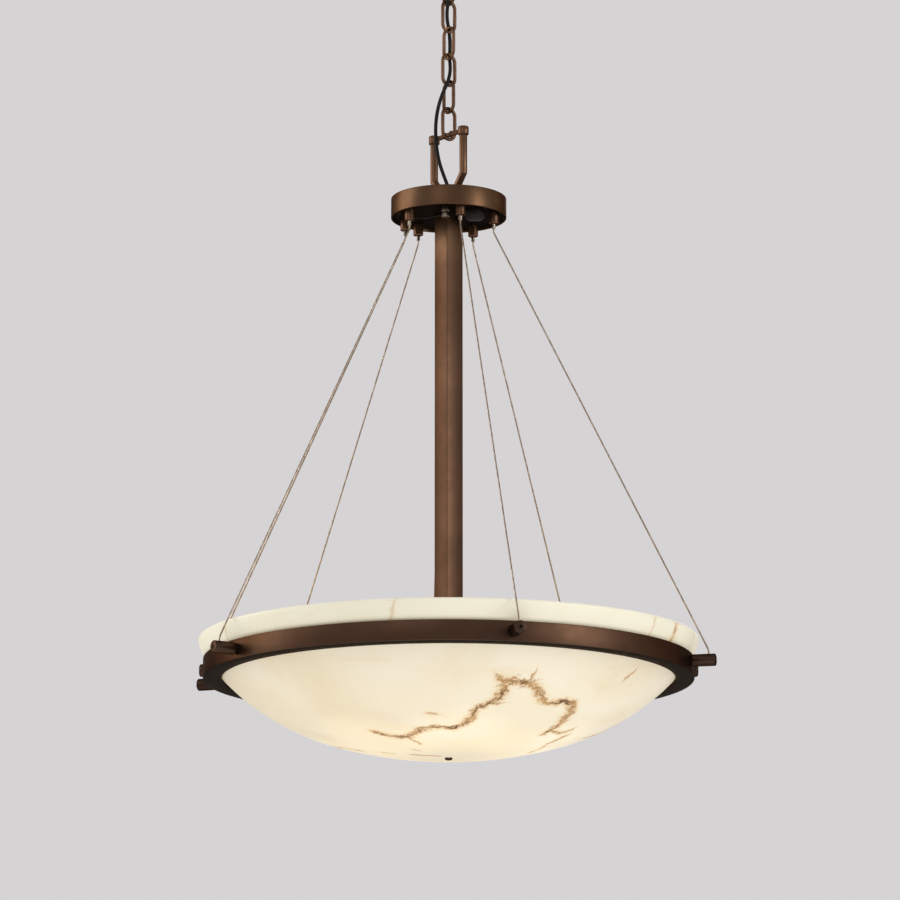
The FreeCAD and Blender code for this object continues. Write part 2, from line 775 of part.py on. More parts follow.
def bowl_centres():
    """Centres of the outline's three arcs as (radius, height over the rim), and the floor arc's radius."""
    lip = radians(bowl_lip_slope)
    side = radians(bowl_side_slope)
    floor = radians(bowl_floor_slope)
    lip_centre = (bowl_radius - bowl_lip_bend * math.sin(lip), bowl_lip_bend * math.cos(lip))
    step = bowl_side_bend - bowl_lip_bend
    side_centre = (lip_centre[0] - step * math.sin(side), lip_centre[1] + step * math.cos(side))
    floor_bend = bowl_side_bend + side_centre[0] / math.sin(floor)
    step = floor_bend - bowl_side_bend
    floor_centre = (0.0, side_centre[1] + step * math.cos(floor))
    return lip_centre, side_centre, floor_centre, floor_bend


def bowl_outline(inset, lift):
    """The bowl's outline moved in by a wall, as edges from the axis to the rim."""
    lip_centre, side_centre, floor_centre, floor_bend = bowl_centres()
    arcs = [
        (floor_centre, floor_bend, 0.0, bowl_floor_slope),
        (side_centre, bowl_side_bend, bowl_floor_slope, bowl_side_slope),
        (lip_centre, bowl_lip_bend, bowl_side_slope, bowl_lip_slope),
    ]
    edges = []
    for centre, bend, first, last in arcs:
        points = []
        for slope in (first, (first + last) / 2.0, last):
            turn = radians(slope)
            reach = bend - inset
            height = lift + centre[1] - reach * math.cos(turn)
            points.append(Vector(centre[0] + reach * math.sin(turn), 0, height))
        edges.append(Part.Arc(points[0], points[1], points[2]).toShape())
    return edges


def bowl_rim_height():
    """The rim's height when the bowl's side just clears the flange's inner edge."""
    lip_centre, side_centre, floor_centre, floor_bend = bowl_centres()
    clear_bend = bowl_side_bend + seat_gap
    reach = flange_radius - side_centre[0]
    side_height = side_centre[1] - math.sqrt(clear_bend ** 2 - reach ** 2)
    return flange_top - side_height


def bowl_floor(inset):
    """Height of the bowl's underside, or of its inside with the wall as inset, on the axis."""
    lip_centre, side_centre, floor_centre, floor_bend = bowl_centres()
    return bowl_rim_height() + floor_centre[1] - floor_bend + inset


def bowl_solid(inset):
    """Everything inside the bowl's outline, closed at the rim and the axis."""
    edges = bowl_outline(inset, bowl_rim_height())
    low = edges[0].Vertexes[0].Point
    rim = edges[-1].Vertexes[-1].Point
    axis_top = Vector(0, 0, rim.z)
    edges.append(Part.makeLine(rim, axis_top))
    edges.append(Part.makeLine(axis_top, low))
    return turned(edges)


def bowl():
    shell = bowl_solid(0.0)
    hollow = bowl_solid(bowl_wall)
    rim = bowl_rim_height()
    mouth_radius = max(v.Point.x for v in bowl_outline(bowl_wall, rim)[-1].Vertexes)
    hollow = hollow.fuse(upright(mouth_radius, rim - bowl_wall, rim + 1.0))
    shell = shell.cut(hollow)
    rim_edges = [e for e in shell.Edges if e.Closed and e.BoundBox.ZMin > rim - 0.05]
    shell = shell.makeFillet(bowl_rim_rounding, rim_edges)
    low = bowl_floor(0.0)
    return shell.cut(upright(bowl_hole_diameter / 2.0, low - 1.0, low + bowl_wall + 2.0)).removeSplitter()


def bowl_gasket():
    """A soft ring in the corner between the flange and the bowl's side."""
    inner = flange_radius + gasket_inset
    outer = inner + gasket_width
    block = upright(outer, flange_top, flange_top + 2.0 * gasket_width).cut(
        upright(inner, flange_top - 1.0, flange_top + 2.0 * gasket_width + 1.0))
    return block.cut(bowl_solid(-seat_gap))


# ---- stem and lamp cluster ----
def stem_tube():
    tube = square_bar(stem_width, cluster_top, stem_top)
    tube = tube.makeFillet(stem_corner_rounding, [e for e in tube.Edges if e.BoundBox.ZLength > stem_width])
    return tube.cut(square_bar(stem_width - 2.0 * stem_wall, cluster_top - 1.0, stem_top + 1.0))


def stem_plug(low, hole):
    plug = square_bar(stem_width - 2.0 * (stem_wall + plug_gap), low, low + plug_length)
    return plug.cut(upright(hole, low - 1.0, low + plug_length + 1.0))


def lamp_cluster():
    """The round wiring box that carries the lamp sockets."""
    cluster = upright(cluster_radius, cluster_bottom, cluster_top)
    cluster = cluster.makeFillet(cluster_rounding, [e for e in cluster.Edges if e.Closed])
    return cluster.cut(upright(rod_diameter / 2.0 + hole_gap, cluster_bottom - 1.0, cluster_top + 1.0))


def socket_angles():
    return [socket_turn + 360.0 / socket_count * step for step in range(socket_count)]


def lamp_socket(angle):
    height = (cluster_top + cluster_bottom) / 2.0
    root = place(cluster_radius - socket_radius / 2.0, angle, height)
    tube = lying(socket_radius, root, outward(angle), socket_length + socket_radius / 2.0)
    tube = tube.cut(upright(cluster_radius + running_gap, cluster_bottom - 5.0, cluster_top + 5.0))
    mouth_length = bulb_base_length + socket_floor_gap
    mouth = place(cluster_radius + socket_length - mouth_length, angle, height)
    return tube.cut(lying(socket_bore_radius, mouth, outward(angle), mouth_length + 1.0))


def bulb(angle):
    """A round lamp with a screw base, lying outwards."""
    middle = bulb_length - bulb_radius
    shoulder = middle - math.sqrt(bulb_radius ** 2 - bulb_shoulder_radius ** 2)
    globe = Part.makeSphere(bulb_radius, Vector(0, 0, middle))
    neck_base = Vector(0, 0, bulb_base_length)
    neck = Part.makeCone(bulb_neck_radius, bulb_shoulder_radius, shoulder - bulb_base_length, neck_base)
    base = Part.makeCylinder(bulb_base_radius, bulb_base_length)
    shape = globe.fuse(neck).fuse(base).removeSplitter()
    shape.rotate(Vector(0, 0, 0), Vector(1, 0, 0), 90.0)
    shape.rotate(Vector(0, 0, 0), Vector(0, 0, 1), angle)
    height = (cluster_top + cluster_bottom) / 2.0
    shape.translate(place(cluster_radius + socket_length - bulb_base_length, angle, height))
    return shape


def lower_rod():
    """From the stem's lower plug through the cluster, stepped down to pass through the bowl's floor."""
    washer_top = bowl_floor(bowl_wall) + washer_thickness + seat_gap
    thick = upright(rod_diameter / 2.0, washer_top, cluster_top + plug_length)
    thin = upright(finial_pin_diameter / 2.0, bowl_floor(0.0) + rod_end_rise, washer_top + 1.0)
    return thick.fuse(thin).removeSplitter()


def floor_washer():
    low = bowl_floor(bowl_wall) + seat_gap
    washer = upright(washer_radius, low, low + washer_thickness)
    return washer.cut(upright(finial_pin_diameter / 2.0 + hole_gap, low - 1.0, low + washer_thickness + 1.0))


def finial():
    """The small button under the bowl, with a sleeve up into the floor's hole."""
    face = bowl_floor(0.0) - seat_gap
    head = upright(finial_radius, face - finial_head_height, face)
    low = face - finial_head_height
    head = head.makeFillet(finial_rounding, [e for e in head.Edges if e.BoundBox.ZMax < low + 0.01])
    sleeve = upright(finial_sleeve_radius, face, face + finial_sleeve_height)
    pin_room = upright(finial_pin_diameter / 2.0 + running_gap, face, face + finial_sleeve_height + 1.0)
    return head.fuse(sleeve).cut(pin_room).removeSplitter()


def power_cord():
    points = [Vector(x, y, hub_top + z) for x, y, z in cord_points]
    bends = cord_bends(points)
    cord = rounded_rod(points, cord_diameter / 2.0, bends)
    length = rounded_length(points, bends)
    section = math.pi * cord_diameter ** 2 / 4.0
    print("power cord length", round(length, 1), "radii", [round(bend, 1) for bend in bends])
    print("cord volume over section times length", round(cord.Volume / section / length, 4))
    return cord


# ---- the whole lamp ----
def build():
    os.makedirs("parts", exist_ok=True)

    save("ceiling_strap", ceiling_strap())
    save("strap_nipple", pipe(-strap_pipe_length, 0.0))
    save("strap_lock_nut", hexagon(pipe_nut_flats, -strap_thickness - pipe_nut_height, -strap_thickness,
                                   hole=pipe_diameter / 2.0))
    save("canopy", canopy())
    save("canopy_loop", canopy_loop())
    save("canopy_collar", canopy_collar())
    for number in range(1, link_count + 1):
        save("chain_link_" + str(number), chain_link(number))

    save("bail_arm_front", bail_arm(1.0))
    save("bail_arm_back", bail_arm(-1.0))
    save("bail_crossbar", bail_crossbar())
    save("bail_caps", [bail_cap(1.0), bail_cap(-1.0)])
    nut_top = hub_top - hub_wall
    save("bail_nuts", [
        hexagon(arm_nut_flats, nut_top - arm_nut_height, nut_top, along_bail(side * arm_foot_reach, 0),
                arm_stud_diameter / 2.0)
        for side in (1.0, -1.0)
    ])

    save("hub_cover", hub_cover())
    save("hub_plate", hub_plate())
    save("hub_plate_screws", [plate_screw(centre) for centre in plate_screw_places()])
    save("hub_nipple", pipe(stem_top - plug_length - hub_pipe_drop, hub_top + hub_pipe_rise))
    save("hub_nipple_nuts", [
        hexagon(pipe_nut_flats, hub_top, hub_top + pipe_nut_height, hole=pipe_diameter / 2.0),
        hexagon(pipe_nut_flats, nut_top - pipe_nut_height, nut_top, hole=pipe_diameter / 2.0),
    ])
    save("cord_grommet", cord_grommet())
    save("hole_plug", hole_plug())
    save("earth_terminal", earth_terminal())
    save("earth_wire", earth_wire())

    save("gripper_bodies", [gripper_body(angle) for angle in cable_angles])
    save("gripper_nuts", [
        hexagon(gripper_nut_flats, plate_top, plate_top + gripper_nut_height, place(gripper_reach, angle),
                gripper_stud_diameter / 2.0)
        for angle in cable_angles
    ])
    for number, angle in enumerate(cable_angles, 1):
        save("gripper_plunger_" + str(number), gripper_plunger(angle))
        save("steel_cable_" + str(number), steel_cable(angle))

    save("ring_frame", ring_frame())
    save("ring_side_screws", [side_screw(angle) for angle in side_screw_angles])
    save("cable_pegs", [cable_peg(angle) for angle in cable_angles])
    save("peg_nuts", [peg_nut(angle) for angle in cable_angles])
    save("peg_set_screws", [set_screw(angle) for angle in cable_angles])
    save("bowl", bowl())
    save("bowl_gasket", bowl_gasket())

    save("stem_tube", stem_tube())
    save("stem_plugs", [
        stem_plug(stem_top - plug_length, pipe_diameter / 2.0),
        stem_plug(cluster_top, rod_diameter / 2.0),
    ])
    save("lamp_cluster", lamp_cluster())
    save("lamp_sockets", [lamp_socket(angle) for angle in socket_angles()])
    save("bulbs", [bulb(angle) for angle in socket_angles()])
    save("lower_rod", lower_rod())
    save("cluster_nut", hexagon(rod_nut_flats, cluster_bottom - rod_nut_height, cluster_bottom,
                                hole=rod_diameter / 2.0))
    save("floor_washer", floor_washer())
    save("finial", finial())
    save("power_cord", power_cord())


build()
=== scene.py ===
import bpy
import json
import math
import numpy as np
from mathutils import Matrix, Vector


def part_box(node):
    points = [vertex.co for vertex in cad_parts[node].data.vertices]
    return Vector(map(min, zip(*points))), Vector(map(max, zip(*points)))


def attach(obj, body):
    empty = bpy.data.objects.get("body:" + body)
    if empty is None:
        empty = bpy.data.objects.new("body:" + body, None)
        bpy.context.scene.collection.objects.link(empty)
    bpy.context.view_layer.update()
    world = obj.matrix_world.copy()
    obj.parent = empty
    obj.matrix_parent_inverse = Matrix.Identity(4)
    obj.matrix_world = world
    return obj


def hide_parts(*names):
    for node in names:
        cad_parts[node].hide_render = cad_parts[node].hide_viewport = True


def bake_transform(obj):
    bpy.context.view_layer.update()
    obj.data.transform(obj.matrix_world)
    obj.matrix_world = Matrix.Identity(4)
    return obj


# Alabaster bowl pendant on a chain. Metres, +Z up, the origin on the ceiling and the front towards -Y.
# Plan angles are measured from -Y towards +X, in degrees.

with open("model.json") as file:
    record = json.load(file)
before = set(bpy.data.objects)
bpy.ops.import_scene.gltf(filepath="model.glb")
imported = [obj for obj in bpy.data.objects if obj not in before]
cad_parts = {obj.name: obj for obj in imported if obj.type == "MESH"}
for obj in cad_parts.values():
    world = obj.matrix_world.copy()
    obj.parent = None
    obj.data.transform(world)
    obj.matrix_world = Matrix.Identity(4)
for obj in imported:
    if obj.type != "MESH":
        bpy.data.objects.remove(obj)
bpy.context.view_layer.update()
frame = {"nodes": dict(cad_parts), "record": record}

MM = 0.001

# ---- camera and picture ----
PICTURE = 900                      # pixels each way
FOCAL_PIXELS = 4471.5
SENSOR = 36.0
CAMERA_PLACE = Vector((0.0016, -5.375, -1.8413))
CAMERA_PITCH = math.radians(11.91)

# ---- sizes in millimetres and angles in degrees, as in the solids ----
HUB_TURN = 38.6
LINK_WIDTH, LINK_HEIGHT, LINK_WIRE, LINK_PITCH = 23.5, 44.0, 4.4, 35.0
LINK_COUNT = 7
TOP_JOINT = -62.2
EYE_RADIUS, EYE_WIRE, EYE_MIDDLE = 12.5, 5.0, -54.5
CROSSBAR_HEIGHT = -306.4
BAIL_SPAN, ARM_FOOT = 29.0, 16.0
HUB_TOP, HUB_BOTTOM, HUB_RADIUS = -389.0, -414.0, 71.7
PLATE_FACE = -410.5
GRIPPER_REACH = 57.5
RING_BOTTOM, RING_HEIGHT, RING_RADIUS = -994.0, 24.6, 298.5
RING_TOP = RING_BOTTOM + RING_HEIGHT
RING_FLANGE, RING_WALL = 22.8, 3.0
PEG_HEIGHT = RING_BOTTOM + RING_HEIGHT / 2.0
PEG_CABLE_REACH = 23.5
CABLE_ANGLES = [-57.0, 14.5, 75.5, 148.0, -176.0, -138.5, -110.0]
SIDE_SCREW_ANGLES = [-90.0, 90.0]
CLUSTER_TOP, CLUSTER_BOTTOM, CLUSTER_RADIUS = -1012.0, -1038.0, 42.0
SOCKET_HEIGHT = (CLUSTER_TOP + CLUSTER_BOTTOM) / 2.0
SOCKET_TURN, SOCKET_COUNT = 8.6, 6
SOCKET_ANGLES = [SOCKET_TURN + 360.0 / SOCKET_COUNT * step for step in range(SOCKET_COUNT)]
BULB_REACH = 109.0
BOWL_RADIUS, BOWL_WALL = 305.0, 8.0
LIP_BEND, SIDE_BEND = 55.5, 285.0
FLOOR_SLOPE, SIDE_SLOPE, LIP_SLOPE = 16.4, 52.0, 80.5
CORD_DIAMETER = 4.5

MERGE_DISTANCE = 0.00001           # metres
TONE_CHANGE = -0.46                # the height in metres above which bronze takes its upper tone


# ---------------------------------------------------------------- modelling helpers
def clear_selection():
    if bpy.context.mode != "OBJECT":
        bpy.ops.object.mode_set(mode="OBJECT")
    bpy.ops.object.select_all(action="DESELECT")


def pick(*pieces):
    """Selects these pieces alone, the first of them active."""
    clear_selection()
    for piece in pieces:
        piece.select_set(True)
    bpy.context.view_layer.objects.active = pieces[0]
    return pieces[0]


def place(reach, angle, height=0.0):
    """A point at a plan angle from the front, given in millimetres."""
    turn = math.radians(angle)
    return Vector((reach * math.sin(turn), -reach * math.cos(turn), height)) * MM


def settle(piece):
    """Puts the piece's place, turn and size into its mesh."""
    pick(piece)
    bpy.ops.object.transform_apply(location=True, rotation=True, scale=True)
    return piece


def smooth(piece, angle=35.0):
    pick(piece)
    bpy.ops.object.shade_smooth_by_angle(angle=math.radians(angle))
    return piece


def apply_modifiers(piece):
    pick(piece)
    for modifier in list(piece.modifiers):
        bpy.ops.object.modifier_apply(modifier=modifier.name)
    return piece


def bevel(piece, width, segments=2, angle=30.0):
    """Rounds the piece's sharp edges, with the width in millimetres."""
    modifier = piece.modifiers.new("rounding", "BEVEL")
    modifier.width = width * MM
    modifier.segments = segments
    modifier.limit_method = "ANGLE"
    modifier.angle_limit = math.radians(angle)
    modifier.use_clamp_overlap = True
    return apply_modifiers(piece)


def outward_faces(piece):
    """Merges doubles and turns every face outwards."""
    pick(piece)
    bpy.ops.object.mode_set(mode="EDIT")
    bpy.ops.mesh.select_all(action="SELECT")
    bpy.ops.mesh.remove_doubles(threshold=MERGE_DISTANCE)
    bpy.ops.mesh.normals_make_consistent(inside=False)
    bpy.ops.object.mode_set(mode="OBJECT")
    return piece


def select_vertices(piece, test):
    """In object mode, selects the vertices whose place passes the test, and goes back to edit mode."""
    bpy.ops.object.mode_set(mode="OBJECT")
    for edge in piece.data.edges:
        edge.select = False
    for face in piece.data.polygons:
        face.select = False
    for vertex in piece.data.vertices:
        vertex.select = test(vertex.co)
    bpy.ops.object.mode_set(mode="EDIT")


def turned(name, outline, steps=64, base=(0.0, 0.0, 0.0), axis=(0.0, 0.0, 1.0), closed=False):
    """Spins an outline of (radius, distance along the axis) in millimetres round an axis through base."""
    clear_selection()
    axis = Vector(axis).normalized()
    side = axis.orthogonal().normalized()
    if abs(axis.z) > 0.999:
        side = Vector((1.0, 0.0, 0.0))
    centre = Vector(base)
    points = [centre + side * (radius * MM) + axis * (along * MM) for radius, along in outline]
    bpy.ops.mesh.primitive_plane_add(size=0.001, location=points[0])
    piece = bpy.context.object
    piece.name = name
    piece.data.name = name
    bpy.ops.object.transform_apply(location=True, rotation=False, scale=False)
    bpy.ops.object.mode_set(mode="EDIT")
    bpy.ops.mesh.select_all(action="SELECT")
    bpy.ops.mesh.merge(type="CENTER")
    for before, after in zip(points, points[1:]):
        bpy.ops.mesh.extrude_vertices_move(TRANSFORM_OT_translate={"value": after - before})
    if closed:
        bpy.ops.mesh.extrude_vertices_move(TRANSFORM_OT_translate={"value": points[0] - points[-1]})
    bpy.ops.mesh.select_all(action="SELECT")
    bpy.ops.mesh.spin(steps=steps, angle=2.0 * math.pi, center=centre, axis=axis)
    bpy.ops.object.mode_set(mode="OBJECT")
    return outward_faces(piece)


def copies(piece, name, turns, drop=Vector((0.0, 0.0, 0.0))):
    """Copies of a finished piece, each with its own mesh, turned about the lamp's axis."""
    made = []
    for number, turn in enumerate(turns):
        pick(piece)
        bpy.ops.object.duplicate()
        copy = bpy.context.object
        copy.name = name + "_" + str(number + 2)
        copy.data.name = copy.name
        copy.rotation_euler.z = math.radians(turn)
        copy.location = drop * (number + 1)
        made.append(settle(copy))
    return made


def ring_of(piece, name, angles):
    """One object with a copy of the piece at each plan angle. The piece itself stands at the first."""
    others = copies(piece, name, [angle - angles[0] for angle in angles[1:]])
    return joined(name, piece, *others)


def joined(name, *pieces):
    pick(*pieces)
    bpy.ops.object.join()
    piece = pieces[0]
    piece.name = name
    piece.data.name = name
    return piece


def curve_through(name, kind, points):
    """A curve object with one spline, its points given in metres."""
    data = bpy.data.curves.new(name, "CURVE")
    data.dimensions = "3D"
    spline = data.splines.new(kind)
    spline.points.add(len(points) - 1)
    for point, spot in zip(spline.points, points):
        point.co = (spot[0], spot[1], spot[2], 1.0)
    curve = bpy.data.objects.new(name, data)
    bpy.context.scene.collection.objects.link(curve)
    return curve


def nurbs_route(name, points, resolution=12):
    """An open spline of order 3 that ends at its first and last points."""
    route = curve_through(name, "NURBS", points)
    spline = route.data.splines[0]
    spline.resolution_u = resolution
    spline.order_u = 3
    spline.use_endpoint_u = True
    return route


def points_on(route):
    """The points of a route with no thickness, in order."""
    bpy.context.view_layer.update()
    evaluated = route.evaluated_get(bpy.context.evaluated_depsgraph_get())
    mesh = bpy.data.meshes.new_from_object(evaluated)
    points = [vertex.co.copy() for vertex in mesh.vertices]
    bpy.data.meshes.remove(mesh)
    return points


def tube(name, points, radius, sides=6):
    """A round tube along points, with the radius in millimetres and both ends closed."""
    piece = curve_through(name, "POLY", points)
    piece.data.bevel_depth = radius * MM
    piece.data.bevel_resolution = sides
    piece.data.use_fill_caps = True
    pick(piece)
    bpy.ops.object.convert(target="MESH")
    return outward_faces(bpy.context.object)


# ---------------------------------------------------------------- finishes
def shade(red, green, blue):
    """A colour named by its screen values, 0 to 255."""
    parts = []
    for value in (red, green, blue):
        level = value / 255.0
        parts.append(level / 12.92 if level <= 0.04045 else ((level + 0.055) / 1.055) ** 2.4)
    return (parts[0], parts[1], parts[2], 1.0)


class Finish:
    """A material's node tree, with short calls for the nodes that the finishes share."""

    def __init__(self, name):
        self.material = bpy.data.materials.new(name)
        self.material.use_nodes = True
        self.tree = self.material.node_tree
        self.shader = self.tree.nodes["Principled BSDF"]
        self.place = self.tree.nodes.new("ShaderNodeTexCoord").outputs["Object"]

    def node(self, kind, **inputs):
        made = self.tree.nodes.new(kind)
        for name, value in inputs.items():
            self.feed(made.inputs[name.replace("_", " ")], value)
        return made

    def feed(self, socket, value):
        if isinstance(value, bpy.types.NodeSocket):
            self.tree.links.new(value, socket)
        else:
            socket.default_value = value

    def set(self, **inputs):
        for name, value in inputs.items():
            self.feed(self.shader.inputs[name.replace("_", " ")], value)

    def maths(self, operation, first, second=0.0):
        made = self.tree.nodes.new("ShaderNodeMath")
        made.operation = operation
        self.feed(made.inputs[0], first)
        self.feed(made.inputs[1], second)
        return made.outputs[0]

    def swing(self, field, width):
        """Makes a field that runs from 0 to 1 swing to either side of nought."""
        return self.maths("MULTIPLY", self.maths("SUBTRACT", field, 0.5), width)

    def split(self, vector):
        """The three numbers of a vector."""
        made = self.tree.nodes.new("ShaderNodeSeparateXYZ")
        self.feed(made.inputs[0], vector)
        return made.outputs[0], made.outputs[1], made.outputs[2]

    def between(self, value, low, high, at_low=0.0, at_high=1.0):
        """Runs smoothly from at_low to at_high as the value goes from low to high."""
        made = self.node("ShaderNodeMapRange", Value=value)
        made.interpolation_type = "SMOOTHSTEP"
        for name, level in (("From Min", low), ("From Max", high), ("To Min", at_low), ("To Max", at_high)):
            made.inputs[name].default_value = level
        return made.outputs["Result"]

    def noise(self, scale, detail=3.0, roughness=0.5, where=None, distortion=0.0):
        made = self.node("ShaderNodeTexNoise", Vector=where or self.place, Scale=scale, Detail=detail)
        made.inputs["Roughness"].default_value = roughness
        made.inputs["Distortion"].default_value = distortion
        return made.outputs["Fac"]

    def stretched(self, scale, turn=(0.0, 0.0, 0.0)):
        """Object coordinates with their own scale along each axis."""
        made = self.node("ShaderNodeMapping", Vector=self.place)
        made.inputs["Scale"].default_value = scale
        made.inputs["Rotation"].default_value = turn
        return made.outputs["Vector"]

    def mix(self, share, first, second):
        """Blends two colours, with the sockets that a mix node has for colour."""
        share_in, first_in, second_in, colour_out = 0, 6, 7, 2
        made = self.tree.nodes.new("ShaderNodeMix")
        made.data_type = "RGBA"
        self.feed(made.inputs[share_in], share)
        self.feed(made.inputs[first_in], first)
        self.feed(made.inputs[second_in], second)
        return made.outputs[colour_out]

    def bump(self, height, strength, distance):
        """Distance in millimetres."""
        made = self.node("ShaderNodeBump", Height=height, Strength=strength, Distance=distance * MM)
        self.feed(self.shader.inputs["Normal"], made.outputs["Normal"])


def bronze_finish(name, dark, light, roughness, upper=None):
    """Hand-rubbed bronze: cloudy colour and a satin grain. Its upper part may have its own tone."""
    finish = Finish(name)
    cloud = finish.noise(9.0, 4.0, 0.55)
    speck = finish.noise(520.0, 2.0)
    share = finish.between(cloud, 0.35, 0.68)
    tone = finish.mix(share, dark, light)
    if upper:
        height = finish.split(finish.place)[2]
        above = finish.between(height, TONE_CHANGE - 0.02, TONE_CHANGE + 0.02)
        tone = finish.mix(above, tone, finish.mix(share, upper[0], upper[1]))
        # Painted shade: the ring's underside, which looks down, gets a greyer tone than its face.
        under_face = finish.between(height, (RING_BOTTOM + 0.3) * MM, (RING_BOTTOM + 0.9) * MM, 1.0, 0.0)
        over_bowl = finish.between(height, (RING_BOTTOM - 3.0) * MM, (RING_BOTTOM - 2.0) * MM)
        tone = finish.mix(finish.maths("MULTIPLY", under_face, over_bowl), tone, shade(74, 67, 58))
    tone = finish.mix(finish.between(speck, 0.60, 0.74, 0.0, 0.18), tone, light)
    finish.set(Base_Color=tone, Metallic=0.95, Specular_Tint=shade(126, 108, 94))
    rub = finish.noise(60.0, 3.0, 0.6)
    finish.set(Roughness=finish.between(rub, 0.3, 0.7, roughness - 0.02, roughness + 0.03))
    finish.bump(finish.noise(900.0, 3.0, 0.6), 0.12, 0.1)
    return finish.material


def steel_finish(name, dark, light, roughness):
    """Drawn or plated steel with faint streaks."""
    finish = Finish(name)
    streak = finish.noise(40.0, 4.0, 0.6, finish.stretched((8.0, 8.0, 1.0)))
    spot = finish.noise(180.0, 3.0, 0.6)
    tone = finish.mix(finish.between(streak, 0.35, 0.7), dark, light)
    finish.set(Base_Color=tone, Metallic=1.0)
    finish.set(Roughness=finish.between(spot, 0.3, 0.7, roughness - 0.05, roughness + 0.07))
    finish.bump(spot, 0.2, 0.08)
    return finish.material


def rubber_finish(name, dark, light):
    finish = Finish(name)
    dust = finish.noise(140.0, 4.0, 0.6)
    finish.set(Base_Color=finish.mix(finish.between(dust, 0.4, 0.75), dark, light))
    finish.set(Roughness=finish.between(dust, 0.3, 0.7, 0.55, 0.75), Specular_IOR_Level=0.25)
    finish.bump(finish.noise(1200.0, 2.0), 0.25, 0.08)
    return finish.material


def porcelain_finish(name):
    finish = Finish(name)
    cloud = finish.noise(30.0, 3.0)
    tone = finish.mix(finish.between(cloud, 0.3, 0.7), shade(232, 230, 221), shade(244, 242, 236))
    finish.set(Base_Color=tone)
    finish.set(Roughness=finish.between(cloud, 0.3, 0.7, 0.28, 0.4))
    finish.bump(finish.noise(400.0, 2.0), 0.1, 0.05)
    return finish.material


def lamp_glass_finish(name):
    """Frosted glass with the lamp's light inside it."""
    finish = Finish(name)
    frost = finish.noise(300.0, 2.0)
    finish.set(Base_Color=finish.mix(frost, shade(250, 244, 228), shade(255, 252, 244)))
    finish.set(Roughness=finish.between(frost, 0.3, 0.7, 0.3, 0.45))
    finish.set(Emission_Color=shade(255, 226, 170), Emission_Strength=1.1)
    return finish.material


def stone_colour(finish, height):
    """The stone's cloud, and its colour: cream, honey bands, a cooler rim and a few faint threads."""
    cloud = finish.noise(4.5, 5.0, 0.55, distortion=0.6)
    stone = finish.mix(finish.between(cloud, 0.3, 0.7), shade(238, 224, 192), shade(250, 242, 220))
    band = finish.noise(5.0, 5.0, 0.6, finish.stretched((1.0, 2.2, 5.0), (0.2, 0.35, 0.5)), 1.2)
    stone = finish.mix(finish.between(band, 0.50, 0.78, 0.0, 0.45), stone, shade(232, 210, 165))
    rim = finish.between(height, RING_TOP * MM - 0.012, RING_TOP * MM + 0.012, 0.0, 0.6)
    stone = finish.mix(rim, stone, shade(239, 239, 220))
    field = finish.noise(7.0, 4.0, 0.5, distortion=1.0)
    thread = finish.maths("ABSOLUTE", finish.maths("SUBTRACT", field, 0.5))
    patch = finish.between(finish.noise(3.2, 2.0), 0.55, 0.68)
    faint = finish.maths("MULTIPLY", finish.between(thread, 0.0, 0.010, 0.4, 0.0), patch)
    return cloud, finish.mix(faint, stone, shade(205, 160, 95))


def vein_masks(finish):
    """How much of a large vein's haze, halo and core lies on each point, by the bowl's vein field."""
    field = finish.node("ShaderNodeAttribute")
    field.attribute_name = "vein"
    offset, strength, darkness = finish.split(field.outputs["Vector"])
    # A vein is three threads that wander to either side of its route and cross.
    fine = finish.swing(finish.noise(380.0, 3.0, 0.7), 0.006)
    distances = []
    for scale, width in ((62.0, 0.032), (105.0, -0.036), (150.0, 0.030)):
        wander = finish.maths("ADD", finish.swing(finish.noise(scale, 3.0, 0.6), width), fine)
        distances.append(finish.maths("ABSOLUTE", finish.maths("ADD", offset, wander)))
    first, second, third = distances
    nearest = finish.maths("MINIMUM", finish.maths("MINIMUM", first, second), third)

    thread = finish.between(nearest, 0.0002, 0.0022, 0.88, 0.0)
    soft = finish.between(nearest, 0.0, 0.0085, 0.75, 0.0)
    soft = finish.maths("MULTIPLY", soft, soft)
    halo = finish.maths("MULTIPLY", finish.maths("MAXIMUM", thread, soft), strength)
    haze = finish.maths("MULTIPLY", finish.between(first, 0.0, 0.017, 0.5, 0.0), strength)
    patch = finish.between(finish.noise(48.0, 2.0), 0.42, 0.62)
    core = finish.maths("MAXIMUM", finish.between(first, 0.0002, 0.0017, 0.95, 0.0),
                        finish.between(second, 0.0002, 0.0012, 0.8, 0.0))
    return haze, halo, finish.maths("MULTIPLY", core, finish.maths("MULTIPLY", patch, darkness))


def bulb_glow(finish, across, deep, height):
    """Painted light from the bulbs inside: an even glow that fades towards the rim, with a soft spot under
    each bulb.
    """
    floor_height, floor_glow, rim_glow = -1.090, 0.225, 0.13
    bulb_share, square_reach = 0.12, 0.0075
    glow = finish.between(height, floor_height, RING_TOP * MM - 0.02, floor_glow, rim_glow)
    for angle in SOCKET_ANGLES:
        bulb_place = place(BULB_REACH, angle)
        away_x = finish.maths("SUBTRACT", across, bulb_place.x)
        away_y = finish.maths("SUBTRACT", deep, bulb_place.y)
        square = finish.maths("ADD", finish.maths("MULTIPLY", away_x, away_x),
                              finish.maths("MULTIPLY", away_y, away_y))
        glow = finish.maths("ADD", glow, finish.between(square, 0.0, square_reach, bulb_share, 0.0))
    return glow


